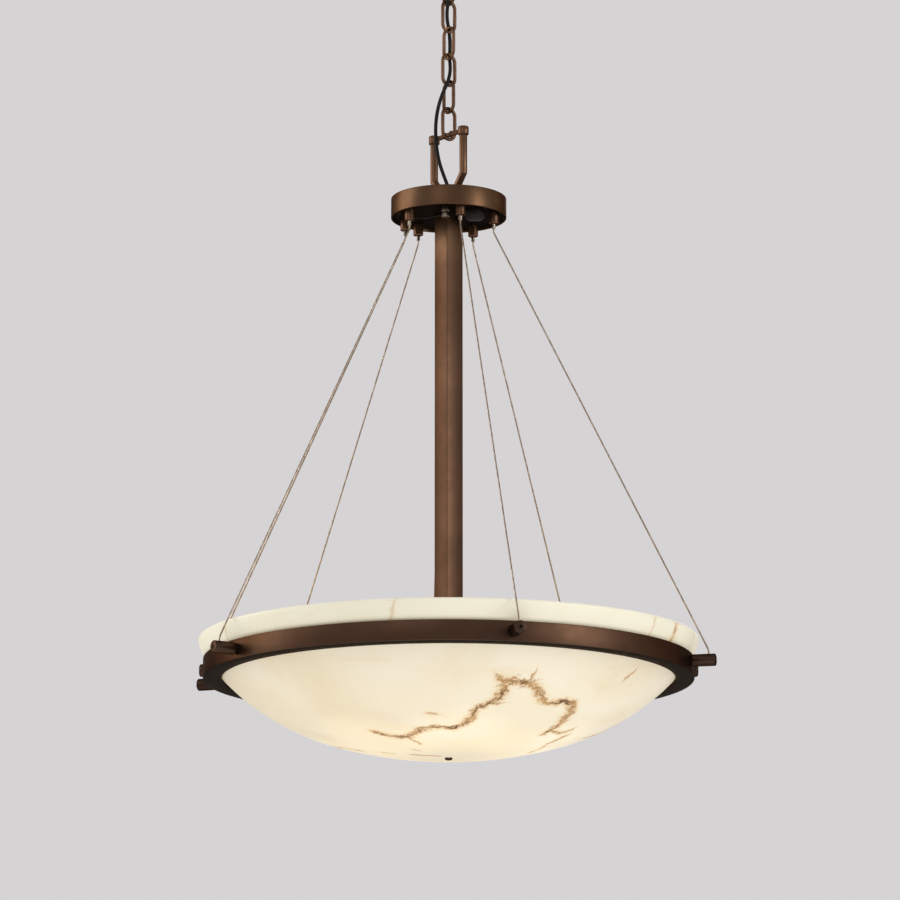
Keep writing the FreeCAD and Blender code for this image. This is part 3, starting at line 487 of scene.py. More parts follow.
def alabaster_finish(name):
    """Cloudy cream stone with a painted glow from the bulbs inside, and golden-brown veins along the bowl's
    vein field.
    """
    finish = Finish(name)
    across, deep, height = finish.split(finish.place)
    cloud, stone = stone_colour(finish, height)
    haze, halo, core = vein_masks(finish)
    stone = finish.mix(haze, stone, shade(230, 192, 120))
    stone = finish.mix(halo, stone, shade(186, 130, 60))
    stone = finish.mix(core, stone, shade(98, 62, 34))
    finish.set(Base_Color=stone, Specular_IOR_Level=0.25)

    glow = bulb_glow(finish, across, deep, height)
    # The veins hold back the painted glow.
    veil = finish.maths("SUBTRACT", 1.0, finish.maths("MULTIPLY", core, 0.8))
    veil = finish.maths("MULTIPLY", veil, finish.maths("SUBTRACT", 1.0, finish.maths("MULTIPLY", halo, 0.7)))
    finish.set(Emission_Color=finish.mix(halo, shade(255, 232, 180), shade(225, 165, 85)))
    finish.set(Emission_Strength=finish.maths("MULTIPLY", glow, veil))
    finish.set(Roughness=finish.between(cloud, 0.3, 0.7, 0.34, 0.46))
    finish.bump(finish.noise(60.0, 4.0, 0.6), 0.08, 0.3)
    return finish.material


def make_finishes():
    return {
        "bronze": bronze_finish("bronze", shade(80, 58, 44), shade(90, 66, 51), 0.40,
                                (shade(94, 69, 50), shade(116, 89, 68))),
        # The plate's bronze is a darker copy, as painted shade for the plate deep under the hub.
        "hub_plate": bronze_finish("hub_plate_shaded_bronze", shade(40, 31, 25), shade(56, 45, 37), 0.46),
        "copper_bronze": bronze_finish("copper_bronze", shade(62, 47, 38), shade(82, 64, 51), 0.38,
                                       (shade(98, 72, 54), shade(130, 98, 76))),
        "cable_steel": steel_finish("cable_steel", shade(150, 132, 112), shade(196, 178, 156), 0.38),
        "bright_steel": steel_finish("bright_steel", shade(122, 108, 95), shade(176, 162, 146), 0.30),
        "zinc_steel": steel_finish("zinc_steel", shade(150, 150, 148), shade(196, 195, 190), 0.38),
        "alabaster": alabaster_finish("alabaster"),
        "dark_rubber": rubber_finish("dark_rubber", shade(22, 18, 16), shade(38, 32, 28)),
        "cord_sheath": rubber_finish("cord_sheath", shade(18, 15, 13), shade(36, 28, 23)),
        "porcelain": porcelain_finish("porcelain"),
        "lamp_glass": lamp_glass_finish("lamp_glass"),
    }


finishes = make_finishes()


def fit(piece, body, finish, *nodes):
    """Gives a finished piece its material, hides the solids that it stands for and hangs it on the body that
    it moves with.
    """
    piece.data.materials.clear()
    piece.data.materials.append(finishes[finish])
    if nodes:
        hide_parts(*nodes)
    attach(piece, body)
    return piece


# Solids given another finish than their slot's, as painted shade, because they lie in a hole or in the hub's
# shadow.
PAINTED_SHADE_SOLIDS = {"peg_set_screws": "dark_rubber", "hub_plate_screws": "bronze", "hub_plate": "hub_plate"}


def dress_solids():
    """Every solid that is carried over gets its slot's material, or a darker one as painted shade."""
    for row in frame["record"]["subparts"]:
        solid = frame["nodes"][row["node"]]
        solid.data.materials.clear()
        solid.data.materials.append(finishes[PAINTED_SHADE_SOLIDS.get(row["node"], row["material_slot"])])


# ---------------------------------------------------------------- ceiling fitting
def make_canopy():
    """The cup against the ceiling, with a rounded lower corner, and the round nut that holds it up."""
    wall, radius, low, rounding, loop_hole = 1.5, 65.0, -28.0, 8.0, 8.3
    corner, corner_steps = radius - rounding, 8

    def corner_points(bend, steps):
        turns = [math.radians(90.0 * step / corner_steps) for step in steps]
        return [(corner + bend * math.sin(turn), low + rounding - bend * math.cos(turn)) for turn in turns]

    outline = [(loop_hole, low), (corner, low)] + corner_points(rounding, range(1, corner_steps + 1))
    outline += [(radius, 0.0), (radius - wall, 0.0), (radius - wall, low + rounding)]
    outline += corner_points(rounding - wall, range(corner_steps - 1, -1, -1)) + [(loop_hole, low + wall)]
    canopy = turned("canopy_shell", outline, 96, closed=True)
    fit(smooth(bevel(canopy, 0.3)), "ceiling_mount", "bronze", "canopy")

    nut_bore, nut_radius, nut_height = 8.1, 12.5, 6.0
    nut_low = low - nut_height
    outline = [(nut_bore, nut_low), (nut_radius, nut_low), (nut_radius, low), (nut_bore, low)]
    collar = turned("canopy_ring_nut", outline, 48, closed=True)
    fit(smooth(bevel(collar, 0.8, 3)), "ceiling_mount", "bronze", "canopy_collar")


def make_canopy_loop():
    """The round eye that the chain hangs on, with its neck up into the canopy."""
    pipe_bore, cord_bore, neck_radius, neck_foot = 5.0, 3.3, 8.0, 6.4
    top, bore_end, taper_start, bottom = -22.0, -26.0, -38.0, -42.0
    outline = [(pipe_bore, top), (neck_radius, top), (neck_radius, taper_start), (neck_foot, bottom),
               (cord_bore, bottom), (cord_bore, bore_end), (pipe_bore, bore_end)]
    neck = turned("loop_neck", outline, 48, closed=True)
    bevel(neck, 0.5)
    clear_selection()
    bpy.ops.mesh.primitive_torus_add(
        major_radius=EYE_RADIUS * MM, minor_radius=EYE_WIRE / 2.0 * MM, major_segments=64, minor_segments=20,
        location=(0.0, 0.0, EYE_MIDDLE * MM),
        rotation=(math.radians(90.0), 0.0, math.radians(HUB_TURN + 90.0)))
    eye = settle(bpy.context.object)
    fit(smooth(joined("ceiling_loop", neck, eye)), "ceiling_mount", "copper_bronze", "canopy_loop")


# ---------------------------------------------------------------- chain
def make_chain():
    """One oval link with its weld, copied down the chain and turned square each time."""
    bend = (LINK_WIDTH - LINK_WIRE) / 2.0
    half_leg = (LINK_HEIGHT - LINK_WIDTH) / 2.0
    segments, leg_cuts = 56, 7
    weld_half, weld_swell = 1.5, 1.09
    clear_selection()
    bpy.ops.mesh.primitive_torus_add(
        major_radius=bend * MM, minor_radius=LINK_WIRE / 2.0 * MM, major_segments=segments, minor_segments=16,
        location=(0.0, 0.0, 0.0), rotation=(math.radians(90.0), 0.0, 0.0))
    link = settle(bpy.context.object)
    bpy.ops.object.mode_set(mode="EDIT")
    bpy.ops.mesh.select_all(action="SELECT")
    half_step = math.pi / segments
    bpy.ops.transform.rotate(value=half_step, orient_axis="Y", center_override=(0.0, 0.0, 0.0))
    for side in (1.0, -1.0):
        select_vertices(link, lambda spot, side=side: spot.z * side > 0.0)
        bpy.ops.transform.translate(value=(0.0, 0.0, side * half_leg * MM))
    # The right leg gets a few rings, and the middle ones swell into the weld.
    select_vertices(link, lambda spot: spot.x > 0.0 and abs(spot.z) < (half_leg + 1.0) * MM)
    bpy.ops.mesh.subdivide(number_cuts=leg_cuts)
    select_vertices(link, lambda spot: spot.x > 0.0 and abs(spot.z) < weld_half * MM)
    bpy.ops.transform.resize(value=(weld_swell, weld_swell, 1.0), center_override=(bend * MM, 0.0, 0.0))
    bpy.ops.object.mode_set(mode="OBJECT")
    outward_faces(link)
    smooth(link, 60.0)
    link.name = "link_1"
    first_middle = TOP_JOINT - (LINK_HEIGHT - LINK_WIRE) / 2.0
    link.rotation_euler.z = math.radians(HUB_TURN)
    link.location.z = first_middle * MM
    settle(link)
    turns = [-90.0 if number % 2 == 0 else 0.0 for number in range(LINK_COUNT - 1)]
    links = [link] + copies(link, "link", turns, Vector((0.0, 0.0, -LINK_PITCH * MM)))
    for number, piece in enumerate(links, 1):
        name = "chain_link_" + str(number)
        fit(piece, name, "copper_bronze", name)


# ---------------------------------------------------------------- bail
def along_bail(reach, height):
    """A point in the bail's plane, given in millimetres."""
    turn = math.radians(HUB_TURN - 90.0)
    return Vector((reach * math.cos(turn), reach * math.sin(turn), height)) * MM


def make_bail():
    """Two round bars with mitred elbows, and the round heads on them."""
    bar_radius, elbow_top, elbow_low = 4.85, 28.0, 12.0
    under_crossbar, over_hub = 3.3, 0.1
    for side, name in ((1.0, "front"), (-1.0, "back")):
        points = [
            along_bail(side * BAIL_SPAN, CROSSBAR_HEIGHT - under_crossbar),
            along_bail(side * BAIL_SPAN, HUB_TOP + elbow_top),
            along_bail(side * ARM_FOOT, HUB_TOP + elbow_low),
            along_bail(side * ARM_FOOT, HUB_TOP + over_hub),
        ]
        arm = tube("bail_bar_" + name, points, bar_radius, 8)
        fit(smooth(bevel(arm, 0.5, 2, 25.0)), "lamp", "copper_bronze", "bail_arm_" + name)

    head_radius, top, bottom = 6.8, 4.8, -5.8
    outline = [(0.0, top), (5.2, top), (6.3, 4.2), (head_radius, 3.2), (head_radius, -5.2), (6.4, bottom),
               (4.9, bottom)]
    heads = []
    for side in (1.0, -1.0):
        heads.append(turned("bail_head", outline, 48, along_bail(side * BAIL_SPAN, CROSSBAR_HEIGHT)))
    fit(smooth(joined("bail_heads", *heads)), "lamp", "copper_bronze", "bail_caps")


def make_crossbar():
    """The crossbar's thread, with its two collars either side of the chain."""
    end_radius, root, crest, pitch, flank = 2.6, 2.68, 3.0, 0.62, 0.3
    half_bar, end_length = BAIL_SPAN + 3.0, 0.6
    collar_reach, half_collar, half_face, collar_edge, collar_radius = 6.0, 1.5, 1.0, 4.0, 4.3
    after_collar = 2.1
    outline = [(0.0, -half_bar), (end_radius, -half_bar)]
    along = -half_bar + end_length
    while along < half_bar - end_length:
        if abs(abs(along) - collar_reach) < half_collar:
            middle = math.copysign(collar_reach, along)
            start, end = middle - half_collar, middle + half_collar
            outline += [(crest, start), (collar_edge, start), (collar_radius, middle - half_face),
                        (collar_radius, middle + half_face), (collar_edge, end), (crest, end)]
            along = middle + after_collar
        else:
            outline += [(root, along), (crest, along + flank)]
            along += pitch
    outline += [(end_radius, half_bar), (0.0, half_bar)]
    base, direction = (0.0, 0.0, CROSSBAR_HEIGHT * MM), along_bail(1.0 / MM, 0.0)
    bar = turned("bail_threaded_bar", outline, 28, base, direction)
    fit(smooth(bar), "lamp", "copper_bronze", "bail_crossbar")


# ---------------------------------------------------------------- hub
def make_hub_cover():
    """The turned cup that stands mouth down."""
    wall, pipe_hole = 1.5, 5.3
    inner, inner_top = HUB_RADIUS - wall, HUB_TOP - wall
    outline = [(pipe_hole, HUB_TOP), (HUB_RADIUS, HUB_TOP), (HUB_RADIUS, HUB_BOTTOM), (inner, HUB_BOTTOM),
               (inner, inner_top), (pipe_hole, inner_top)]
    cover = turned("hub_shell", outline, 128, closed=True)
    fit(smooth(bevel(cover, 0.9, 3)), "lamp", "bronze", "hub_cover")


def make_hole_plug():
    """The dark dome in the plate's spare hole."""
    rim, neck, depth, neck_length = 13.0, 9.0, 11.0, 4.0
    low, top = PLATE_FACE - depth, PLATE_FACE + neck_length
    outline = [(0.0, low), (5.0, low + 0.3), (9.0, low + 1.3), (11.6, low + 3.2), (12.8, low + 5.8),
               (rim, low + 8.0), (rim, PLATE_FACE), (neck, PLATE_FACE), (neck, top), (0.0, top)]
    plug = turned("plate_plug", outline, 48, place(37.0, 59.6))
    fit(smooth(plug), "lamp", "dark_rubber", "hole_plug")


def make_earth_terminal():
    """A post with two collars, and the short wire from it to the first gripper."""
    collar, edge, waist, stud = 4.8, 4.2, 3.8, 2.4
    low, top = PLATE_FACE - 13.0, PLATE_FACE + 5.0
    post_place, gripper_place = place(45.0, -5.0), place(GRIPPER_REACH, CABLE_ANGLES[0])
    outline = [(0.0, low), (edge, low), (collar, low + 0.6), (collar, low + 3.4), (edge, low + 4.0),
               (waist, low + 4.2), (waist, low + 6.8), (edge, low + 7.0), (collar, low + 7.6),
               (collar, low + 10.4), (edge, low + 11.0), (waist, low + 11.2), (waist, PLATE_FACE),
               (stud, PLATE_FACE), (stud, top), (0.0, top)]
    post = turned("earth_post", outline, 36, post_place)
    fit(smooth(post), "lamp", "bright_steel", "earth_terminal")

    from_post, from_gripper, wire_radius, drop, fall, dip = 4.7, 6.1, 0.65, 10.0, 1.5, 1.8
    height = PLATE_FACE - drop
    direction = (gripper_place - post_place).normalized()
    start = post_place + direction * from_post * MM + Vector((0.0, 0.0, height * MM))
    end = gripper_place - direction * from_gripper * MM + Vector((0.0, 0.0, (height - fall) * MM))
    sag = Vector((0.0, 0.0, -dip * MM))
    dips = ((0.25, 0.8), (0.55, 1.2), (0.85, 0.6))
    between = [start.lerp(end, share) + sag * depth for share, depth in dips]
    route = nurbs_route("earth_wire_route", [start] + between + [end])
    wire = tube("earth_lead", points_on(route), wire_radius, 4)
    bpy.data.objects.remove(route)
    fit(smooth(wire, 60.0), "lamp", "dark_rubber", "earth_wire")


def make_cord_bush():
    """The soft bush on the hub's pipe, where the power cord goes in."""
    bore, pipe_bore, radius = 2.65, 3.22, 6.6
    pipe_end = HUB_TOP + 7.0
    outline = [(bore, pipe_end - 4.0), (pipe_bore, pipe_end - 4.0), (pipe_bore, pipe_end), (radius, pipe_end),
               (radius, pipe_end + 1.0), (6.2, pipe_end + 2.2), (5.2, pipe_end + 3.0), (3.0, pipe_end + 3.0),
               (bore, pipe_end + 2.6)]
    bush = turned("cord_bush", outline, 40, closed=True)
    fit(smooth(bush), "lamp", "dark_rubber", "cord_grommet")


def make_grippers():
    """The seven cable grippers under the hub, with a groove round each, and their spring sleeves."""
    base = place(GRIPPER_REACH, CABLE_ANGLES[0])
    skirt, groove, foot, stud, spring_bore, mouth, cable_bore = 6.25, 5.9, 5.4, 4.0, 3.5, 2.4, 1.3
    low, top, lip_top = PLATE_FACE - 14.0, PLATE_FACE + 10.0, PLATE_FACE - 14.0 + 1.5
    bore_top = low + 11.0
    outline = [(mouth, low), (foot, low), (skirt, low + 0.8), (skirt, low + 2.6), (groove, low + 2.9),
               (groove, low + 3.5), (skirt, low + 3.8), (skirt, PLATE_FACE - 0.4), (groove, PLATE_FACE),
               (stud, PLATE_FACE), (stud, top), (cable_bore, top), (cable_bore, bore_top),
               (spring_bore, bore_top), (spring_bore, lip_top), (mouth, lip_top)]
    body = turned("gripper", outline, 40, base, closed=True)
    smooth(body)
    fit(ring_of(body, "grippers", CABLE_ANGLES), "lamp", "copper_bronze", "gripper_bodies")

    sleeve_radius, sleeve_end, flange = 2.3, 1.9, 3.4
    tip, flange_low, flange_top = low - 6.5, low + 1.6, low + 3.0
    outline = [(cable_bore, tip), (sleeve_end, tip), (sleeve_radius, tip + 0.5), (sleeve_radius, flange_low),
               (flange, flange_low), (flange, flange_top), (cable_bore, flange_top)]
    sleeve = turned("gripper_sleeve_1", outline, 32, base, closed=True)
    smooth(sleeve)
    turns = [angle - CABLE_ANGLES[0] for angle in CABLE_ANGLES[1:]]
    sleeves = [sleeve] + copies(sleeve, "gripper_sleeve", turns)
    for number, piece in enumerate(sleeves, 1):
        name = "gripper_plunger_" + str(number)
        fit(piece, name, "bright_steel", name)


# ---------------------------------------------------------------- cables
def cable_route(number, angle):
    """A cable's way from inside its gripper, with a soft bend below it and another above the peg."""
    peg_reach, bend_run = RING_RADIUS + PEG_CABLE_REACH, 6.0
    top = place(GRIPPER_REACH, angle, PLATE_FACE + 13.0)
    bend_top = place(GRIPPER_REACH, angle, PLATE_FACE - 25.0)
    bend_low = place(peg_reach, angle, PEG_HEIGHT + 12.0)
    bottom = place(peg_reach, angle, PEG_HEIGHT - 3.7)
    run = (bend_low - bend_top).normalized() * bend_run * MM
    up = Vector((0.0, 0.0, bend_run * MM))
    return nurbs_route("cable_route_" + str(number), [
        top, bend_top + up, bend_top, bend_top + run, (bend_top + bend_low) / 2.0,
        bend_low - run, bend_low, bend_low - up, bottom])


def make_cables():
    """Each cable is a twisted twelve-sided rod, bent along its route from gripper to peg."""
    cable_radius, sides, lay_length, step_length = 1.0, 12, 11.0, 1.3
    for number, angle in enumerate(CABLE_ANGLES, 1):
        route = cable_route(number, angle)
        points = points_on(route)
        length = sum((after - before).length for before, after in zip(points, points[1:]))

        clear_selection()
        bpy.ops.mesh.primitive_circle_add(vertices=sides, radius=cable_radius * MM)
        rod = bpy.context.object
        rod.name = "cable_rope_" + str(number)
        rod.data.name = rod.name
        twist = rod.modifiers.new("lay", "SCREW")
        twist.axis = "Z"
        twist.screw_offset = length
        twist.angle = 2.0 * math.pi * length / (lay_length * MM)
        twist.steps = int(length / (step_length * MM))
        twist.render_steps = twist.steps
        twist.use_merge_vertices = False
        follow = rod.modifiers.new("route", "CURVE")
        follow.object = route
        follow.deform_axis = "POS_Z"
        apply_modifiers(rod)
        bpy.data.objects.remove(route)
        outward_faces(rod)
        smooth(rod, 80.0)
        fit(rod, "lamp", "cable_steel", "steel_cable_" + str(number))


# ---------------------------------------------------------------- ring
def make_ring():
    """The rolled angle: a band with a flange at its foot, which the bowl rests on."""
    inner, web, flange_top = RING_RADIUS - RING_FLANGE, RING_RADIUS - RING_WALL, RING_BOTTOM + RING_WALL
    outline = [(inner, RING_BOTTOM), (RING_RADIUS, RING_BOTTOM), (RING_RADIUS, RING_TOP), (web, RING_TOP),
               (web, flange_top), (inner, flange_top)]
    ring = turned("ring_band", outline, 288, closed=True)
    fit(smooth(bevel(ring, 0.9, 3)), "lamp", "bronze", "ring_frame")


def make_pegs():
    """Round pegs with a waist at the root, a softened end and the hole for the set screw."""
    angle = CABLE_ANGLES[0]
    thread, waist, radius, hole = 3.0, 6.5, 7.5, 2.0
    start, end = RING_RADIUS - 0.6, RING_RADIUS + 32.0
    thread_start, hole_floor = start - 6.4, end - 3.5
    outline = [(0.0, thread_start), (thread, thread_start), (thread, start), (waist, start),
               (waist, RING_RADIUS + 2.6), (6.9, RING_RADIUS + 3.2), (7.3, RING_RADIUS + 3.8),
               (radius, RING_RADIUS + 4.6), (radius, end - 1.3), (7.3, end - 0.6), (6.9, end - 0.2),
               (6.3, end), (2.4, end), (2.1, end - 0.4), (hole, end - 1.5), (hole, hole_floor),
               (0.0, hole_floor)]
    peg = turned("peg", outline, 48, place(0.0, angle, PEG_HEIGHT), place(1.0 / MM, angle))
    smooth(peg)
    fit(ring_of(peg, "pegs", CABLE_ANGLES), "lamp", "copper_bronze", "cable_pegs")


def make_side_screws():
    """The two round-headed screws in the ring's side, with a recess in each head."""
    angle = SIDE_SCREW_ANGLES[0]
    thread, head, recess = 2.5, 7.8, 2.0
    tip, seat, recess_floor = RING_RADIUS - 7.0, RING_RADIUS - 0.5, RING_RADIUS + 2.6
    outline = [(0.0, tip), (thread, tip), (thread, seat), (head, seat), (head, RING_RADIUS + 2.4),
               (7.4, RING_RADIUS + 3.4), (6.4, RING_RADIUS + 4.3), (4.6, RING_RADIUS + 4.9),
               (2.4, RING_RADIUS + 5.0), (recess, RING_RADIUS + 4.6), (recess, recess_floor),
               (0.0, recess_floor)]
    screw = turned("side_screw", outline, 48, place(0.0, angle, PEG_HEIGHT), place(1.0 / MM, angle))
    smooth(screw)
    fit(ring_of(screw, "side_screws", SIDE_SCREW_ANGLES), "lamp", "copper_bronze", "ring_side_screws")


# ---------------------------------------------------------------- bowl
def bowl_arcs():
    """The outline's three arcs as (centre, radius, first slope, last slope), heights over the rim in mm."""
    lip, side, floor = (math.radians(slope) for slope in (LIP_SLOPE, SIDE_SLOPE, FLOOR_SLOPE))
    lip_centre = (BOWL_RADIUS - LIP_BEND * math.sin(lip), LIP_BEND * math.cos(lip))
    step = SIDE_BEND - LIP_BEND
    side_centre = (lip_centre[0] - step * math.sin(side), lip_centre[1] + step * math.cos(side))
    floor_bend = SIDE_BEND + side_centre[0] / math.sin(floor)
    floor_centre = (0.0, side_centre[1] + (floor_bend - SIDE_BEND) * math.cos(floor))
    return [
        (floor_centre, floor_bend, 0.0, FLOOR_SLOPE),
        (side_centre, SIDE_BEND, FLOOR_SLOPE, SIDE_SLOPE),
        (lip_centre, LIP_BEND, SIDE_SLOPE, LIP_SLOPE),
    ]


def bowl_outline(inset, spacing, rim):
    """Points from the middle of the floor to the rim, about one spacing apart, in mm."""
    points = []
    for centre, bend, first, last in bowl_arcs():
        reach = bend - inset
        count = max(2, round(math.radians(last - first) * reach / spacing))
        for step in range(count + 1):
            turn = math.radians(first + (last - first) * step / count)
            spot = (centre[0] + reach * math.sin(turn), rim + centre[1] - reach * math.cos(turn))
            if not points or math.dist(points[-1], spot) > 0.01:
                points.append(spot)
    return points


def make_bowl():
    """The bowl's wall, with fine faces outside to carry the veins, a soft lip and the rod's hole."""
    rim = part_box("bowl")[1].z / MM
    hole, hole_clear, rounding = 4.5, 1.0, 2.6
    outer_spacing, inner_spacing, lip_steps, lip_fullness = 1.9, 7.0, 12, 0.8

    def wall(inset, spacing):
        points = bowl_outline(inset, spacing, rim)
        return [spot for spot in points if spot[0] > hole + hole_clear and spot[1] < rim - rounding]

    outer, inner = wall(0.0, outer_spacing), wall(BOWL_WALL, inner_spacing)
    middle = (outer[-1][0] + inner[-1][0]) / 2.0
    half = (outer[-1][0] - inner[-1][0]) / 2.0
    lip = []
    for step in range(1, lip_steps):
        turn = math.pi * step / lip_steps
        across = math.copysign(abs(math.cos(turn)) ** lip_fullness, math.cos(turn))
        lip.append((middle + half * across, rim - rounding + rounding * math.sin(turn) ** lip_fullness))
    floor_low, floor_high = outer[0][1], inner[0][1]
    outline = [(hole, floor_low + 0.6), (hole + 0.4, floor_low + 0.1)] + outer + lip + inner[::-1]
    outline += [(hole + 0.4, floor_high - 0.1), (hole, floor_high - 0.6)]
    bowl = turned("alabaster_bowl", outline, 360, closed=True)
    smooth(bowl, 50.0)
    return bowl


# The veins' routes, as pixels of the 900 x 900 picture, each with its width in mm and its darkness.
VEINS_IN_PICTURE = [
    (1.0, 1.0, [
        (374.6, 731.8), (397.9, 737.1), (408.6, 737.1), (419.3, 730.0), (435.4, 726.4), (454.3, 728.2),
        (463.2, 724.6), (470.4, 718.4), (477.5, 707.7), (488.2, 704.1), (497.1, 697.9), (504.3, 688.9),
        (507.0, 681.8), (516.8, 681.8), (531.0, 682.7), (537.3, 687.1), (539.1, 694.3), (545.4, 701.4),
        (556.0, 703.2), (565.0, 701.4), (572.1, 703.2), (571.3, 710.4), (563.2, 721.0), (554.3, 728.2),
        (543.6, 733.6)]),
    (0.8, 0.9, [(499.5, 677.5), (503.5, 681.5), (510.0, 678.5)]),
    (0.6, 0.5, [(488.2, 704.1), (498.9, 703.2)]),
    (0.6, 0.4, [(530.0, 682.7), (534.0, 674.0)]),
    (0.7, 0.8, [(543.6, 733.6), (551.0, 731.0), (560.0, 733.5), (570.0, 730.0)]),
    (0.8, 0.6, [(548.9, 743.4), (558.0, 739.5), (566.8, 735.4)]),
    (0.6, 0.4, [(529.0, 753.0), (545.0, 746.0)]),
    (0.6, 0.4, [(408.6, 738.0), (421.0, 744.0)]),
    (0.6, 0.4, [(381.8, 752.3), (394.3, 753.6)]),
    (0.7, 0.6, [(412.0, 754.6), (424.0, 755.6), (437.0, 756.0)]),
    (0.5, 0.4, [(414.0, 749.5), (419.0, 750.5)]),
    (0.7, 0.3, [(428.0, 713.5), (435.5, 714.2)]),
    (0.7, 0.4, [(626.6, 677.9), (632.9, 672.5)]),
    (1.0, 0.3, [(669.5, 641.6), (673.5, 635.0), (676.6, 625.5)]),
    (0.7, 0.0, [(648.0, 637.0), (655.0, 620.0)]),
    (0.6, 0.0, [(391.0, 620.0), (394.0, 602.0)]),
    (0.5, 0.0, [(228.0, 640.0), (225.0, 622.0)]),
]
# Veins that run round the parts of the bowl away from the picture, as (plan angle, share of the radius).
VEINS_IN_PLAN = [
    (1.0, 0.8, [(150.0, 0.30), (158.0, 0.38), (163.0, 0.47), (157.0, 0.55), (166.0, 0.62), (175.0, 0.66),
                (179.0, 0.74), (187.0, 0.80), (189.0, 0.88)]),
    (0.8, 0.6, [(166.0, 0.62), (170.0, 0.54), (180.0, 0.49), (186.0, 0.41)]),
    (0.8, 0.6, [(96.0, 0.55), (101.0, 0.62), (98.0, 0.70), (104.0, 0.78), (109.0, 0.90)]),
    (0.8, 0.5, [(-98.0, 0.35), (-104.0, 0.44), (-112.0, 0.50), (-116.0, 0.60), (-124.0, 0.65)]),
    (0.7, 0.4, [(-150.0, 0.70), (-154.0, 0.80), (-151.0, 0.93)]),
]


def picture_ray(pixel):
    """Where the camera looks through a pixel of the picture."""
    right = (pixel[0] - PICTURE / 2.0) / FOCAL_PIXELS
    up = (PICTURE / 2.0 - pixel[1]) / FOCAL_PIXELS
    turn = Vector((0.0, math.cos(CAMERA_PITCH), math.sin(CAMERA_PITCH)))
    upright = Vector((0.0, -math.sin(CAMERA_PITCH), math.cos(CAMERA_PITCH)))
    return (turn + upright * up + Vector((right, 0.0, 0.0))).normalized()


def points_struck(bowl, rays):
    """Where rays, each a start and a direction, first meet the bowl."""
    struck = []
    for start, direction in rays:
        hit, spot = bowl.ray_cast(start, direction)[:2]
        if hit:
            struck.append(spot)
    return struck


def vein_routes(bowl):
    """Every vein's width, darkness and points on the bowl's outside."""
    under_the_lamp, upward = -1300.0, Vector((0.0, 0.0, 1.0))
    routes = []
    for width, darkness, pixels in VEINS_IN_PICTURE:
        rays = [(CAMERA_PLACE, picture_ray(pixel)) for pixel in pixels]
        routes.append((width, darkness, points_struck(bowl, rays)))
    for width, darkness, marks in VEINS_IN_PLAN:
        rays = [(place(share * BOWL_RADIUS, angle, under_the_lamp), upward) for angle, share in marks]
        routes.append((width, darkness, points_struck(bowl, rays)))
    return routes


def paint_vein_field(bowl):
    """Stores each point's distance to the side of the nearest vein, and how strong and dark that vein is."""
    mesh = bowl.data
    count = len(mesh.vertices)
    spots = np.empty(count * 3)
    normals = np.empty(count * 3)
    mesh.vertices.foreach_get("co", spots)
    mesh.vertices.foreach_get("normal", normals)
    spots, normals = spots.reshape(-1, 3), normals.reshape(-1, 3)
    inside = normals[:, 2] > 0.0
    spots = spots - np.where(inside[:, None], normals * BOWL_WALL * MM, 0.0)
    normals = np.where(inside[:, None], -normals, normals)

    nearest = np.full(count, 1.0)
    offset = np.full(count, 1.0)
    strength = np.zeros(count)
    darkness = np.zeros(count)
    fade_start, fade_end = 0.006, 0.016
    pale_width, dark_width, least_strength = 0.55, 0.45, 0.35
    for width, dark, route in vein_routes(bowl):
        for start, end in zip(route, route[1:]):
            start, run = np.array(start), np.array(end - start)
            share = np.clip((spots - start) @ run / (run @ run), 0.0, 1.0)
            gap = spots - start - share[:, None] * run
            distance = np.linalg.norm(gap, axis=1)
            side = np.sign(np.einsum("ij,ij->i", np.cross(run, gap), normals))
            closer = distance < nearest
            nearest = np.where(closer, distance, nearest)
            offset = np.where(closer, distance * side / (width * (pale_width + dark_width * dark)), offset)
            fade = np.clip((fade_end - distance) / (fade_end - fade_start), 0.0, 1.0)
            strength = np.where(closer, fade * min(1.0, least_strength + dark), strength)
            darkness = np.where(closer, fade * dark, darkness)
    field = mesh.attributes.new("vein", "FLOAT_VECTOR", "POINT")
    field.data.foreach_set("vector", np.stack([offset, strength, darkness], axis=1).ravel())


def make_gasket():
    """The soft ring in the corner between the ring's flange and the bowl."""
    low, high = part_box("bowl_gasket")
    bottom, top = low.z / MM, high.z / MM
    from_flange, width, clear = 2.5, 10.0, 0.3
    inner = RING_RADIUS - RING_FLANGE + from_flange
    outer = inner + width
    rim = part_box("bowl")[1].z / MM
    points = bowl_outline(-clear, 2.0, rim)
    side = [spot for spot in points if inner < spot[0] < outer and bottom < spot[1] < top]
    outline = [(side[0][0], bottom)] + side + [(outer, side[-1][1]), (outer, bottom)]
    gasket = turned("bowl_seat_ring", outline, 192, closed=True)
    fit(smooth(gasket), "lamp", "dark_rubber", "bowl_gasket")


# ---------------------------------------------------------------- stem and lamps
def make_stem():
    """The square tube, open at both ends."""
    low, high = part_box("stem_tube")
    width, wall = 25.0, 1.5
    clear_selection()
    bpy.ops.mesh.primitive_cube_add(size=1.0, location=(0.0, 0.0, (low.z + high.z) / 2.0),
                                    rotation=(0.0, 0.0, math.radians(HUB_TURN)),
                                    scale=(width * MM, width * MM, high.z - low.z))
    stem = settle(bpy.context.object)
    stem.name = "square_stem"
    # Both ends are opened into the bore.
    bpy.ops.object.mode_set(mode="EDIT")
    bpy.ops.mesh.select_mode(type="FACE")
    bpy.ops.object.mode_set(mode="OBJECT")
    for face in stem.data.polygons:
        face.select = abs(face.normal.z) > 0.9
    bpy.ops.object.mode_set(mode="EDIT")
    bpy.ops.mesh.inset(thickness=wall * MM)
    bpy.ops.mesh.bridge_edge_loops()
    bpy.ops.mesh.select_all(action="SELECT")
    bpy.ops.mesh.normals_make_consistent(inside=False)
    bpy.ops.mesh.select_mode(type="VERT")
    bpy.ops.object.mode_set(mode="OBJECT")
    fit(smooth(bevel(stem, 0.9, 3)), "lamp", "bronze", "stem_tube")


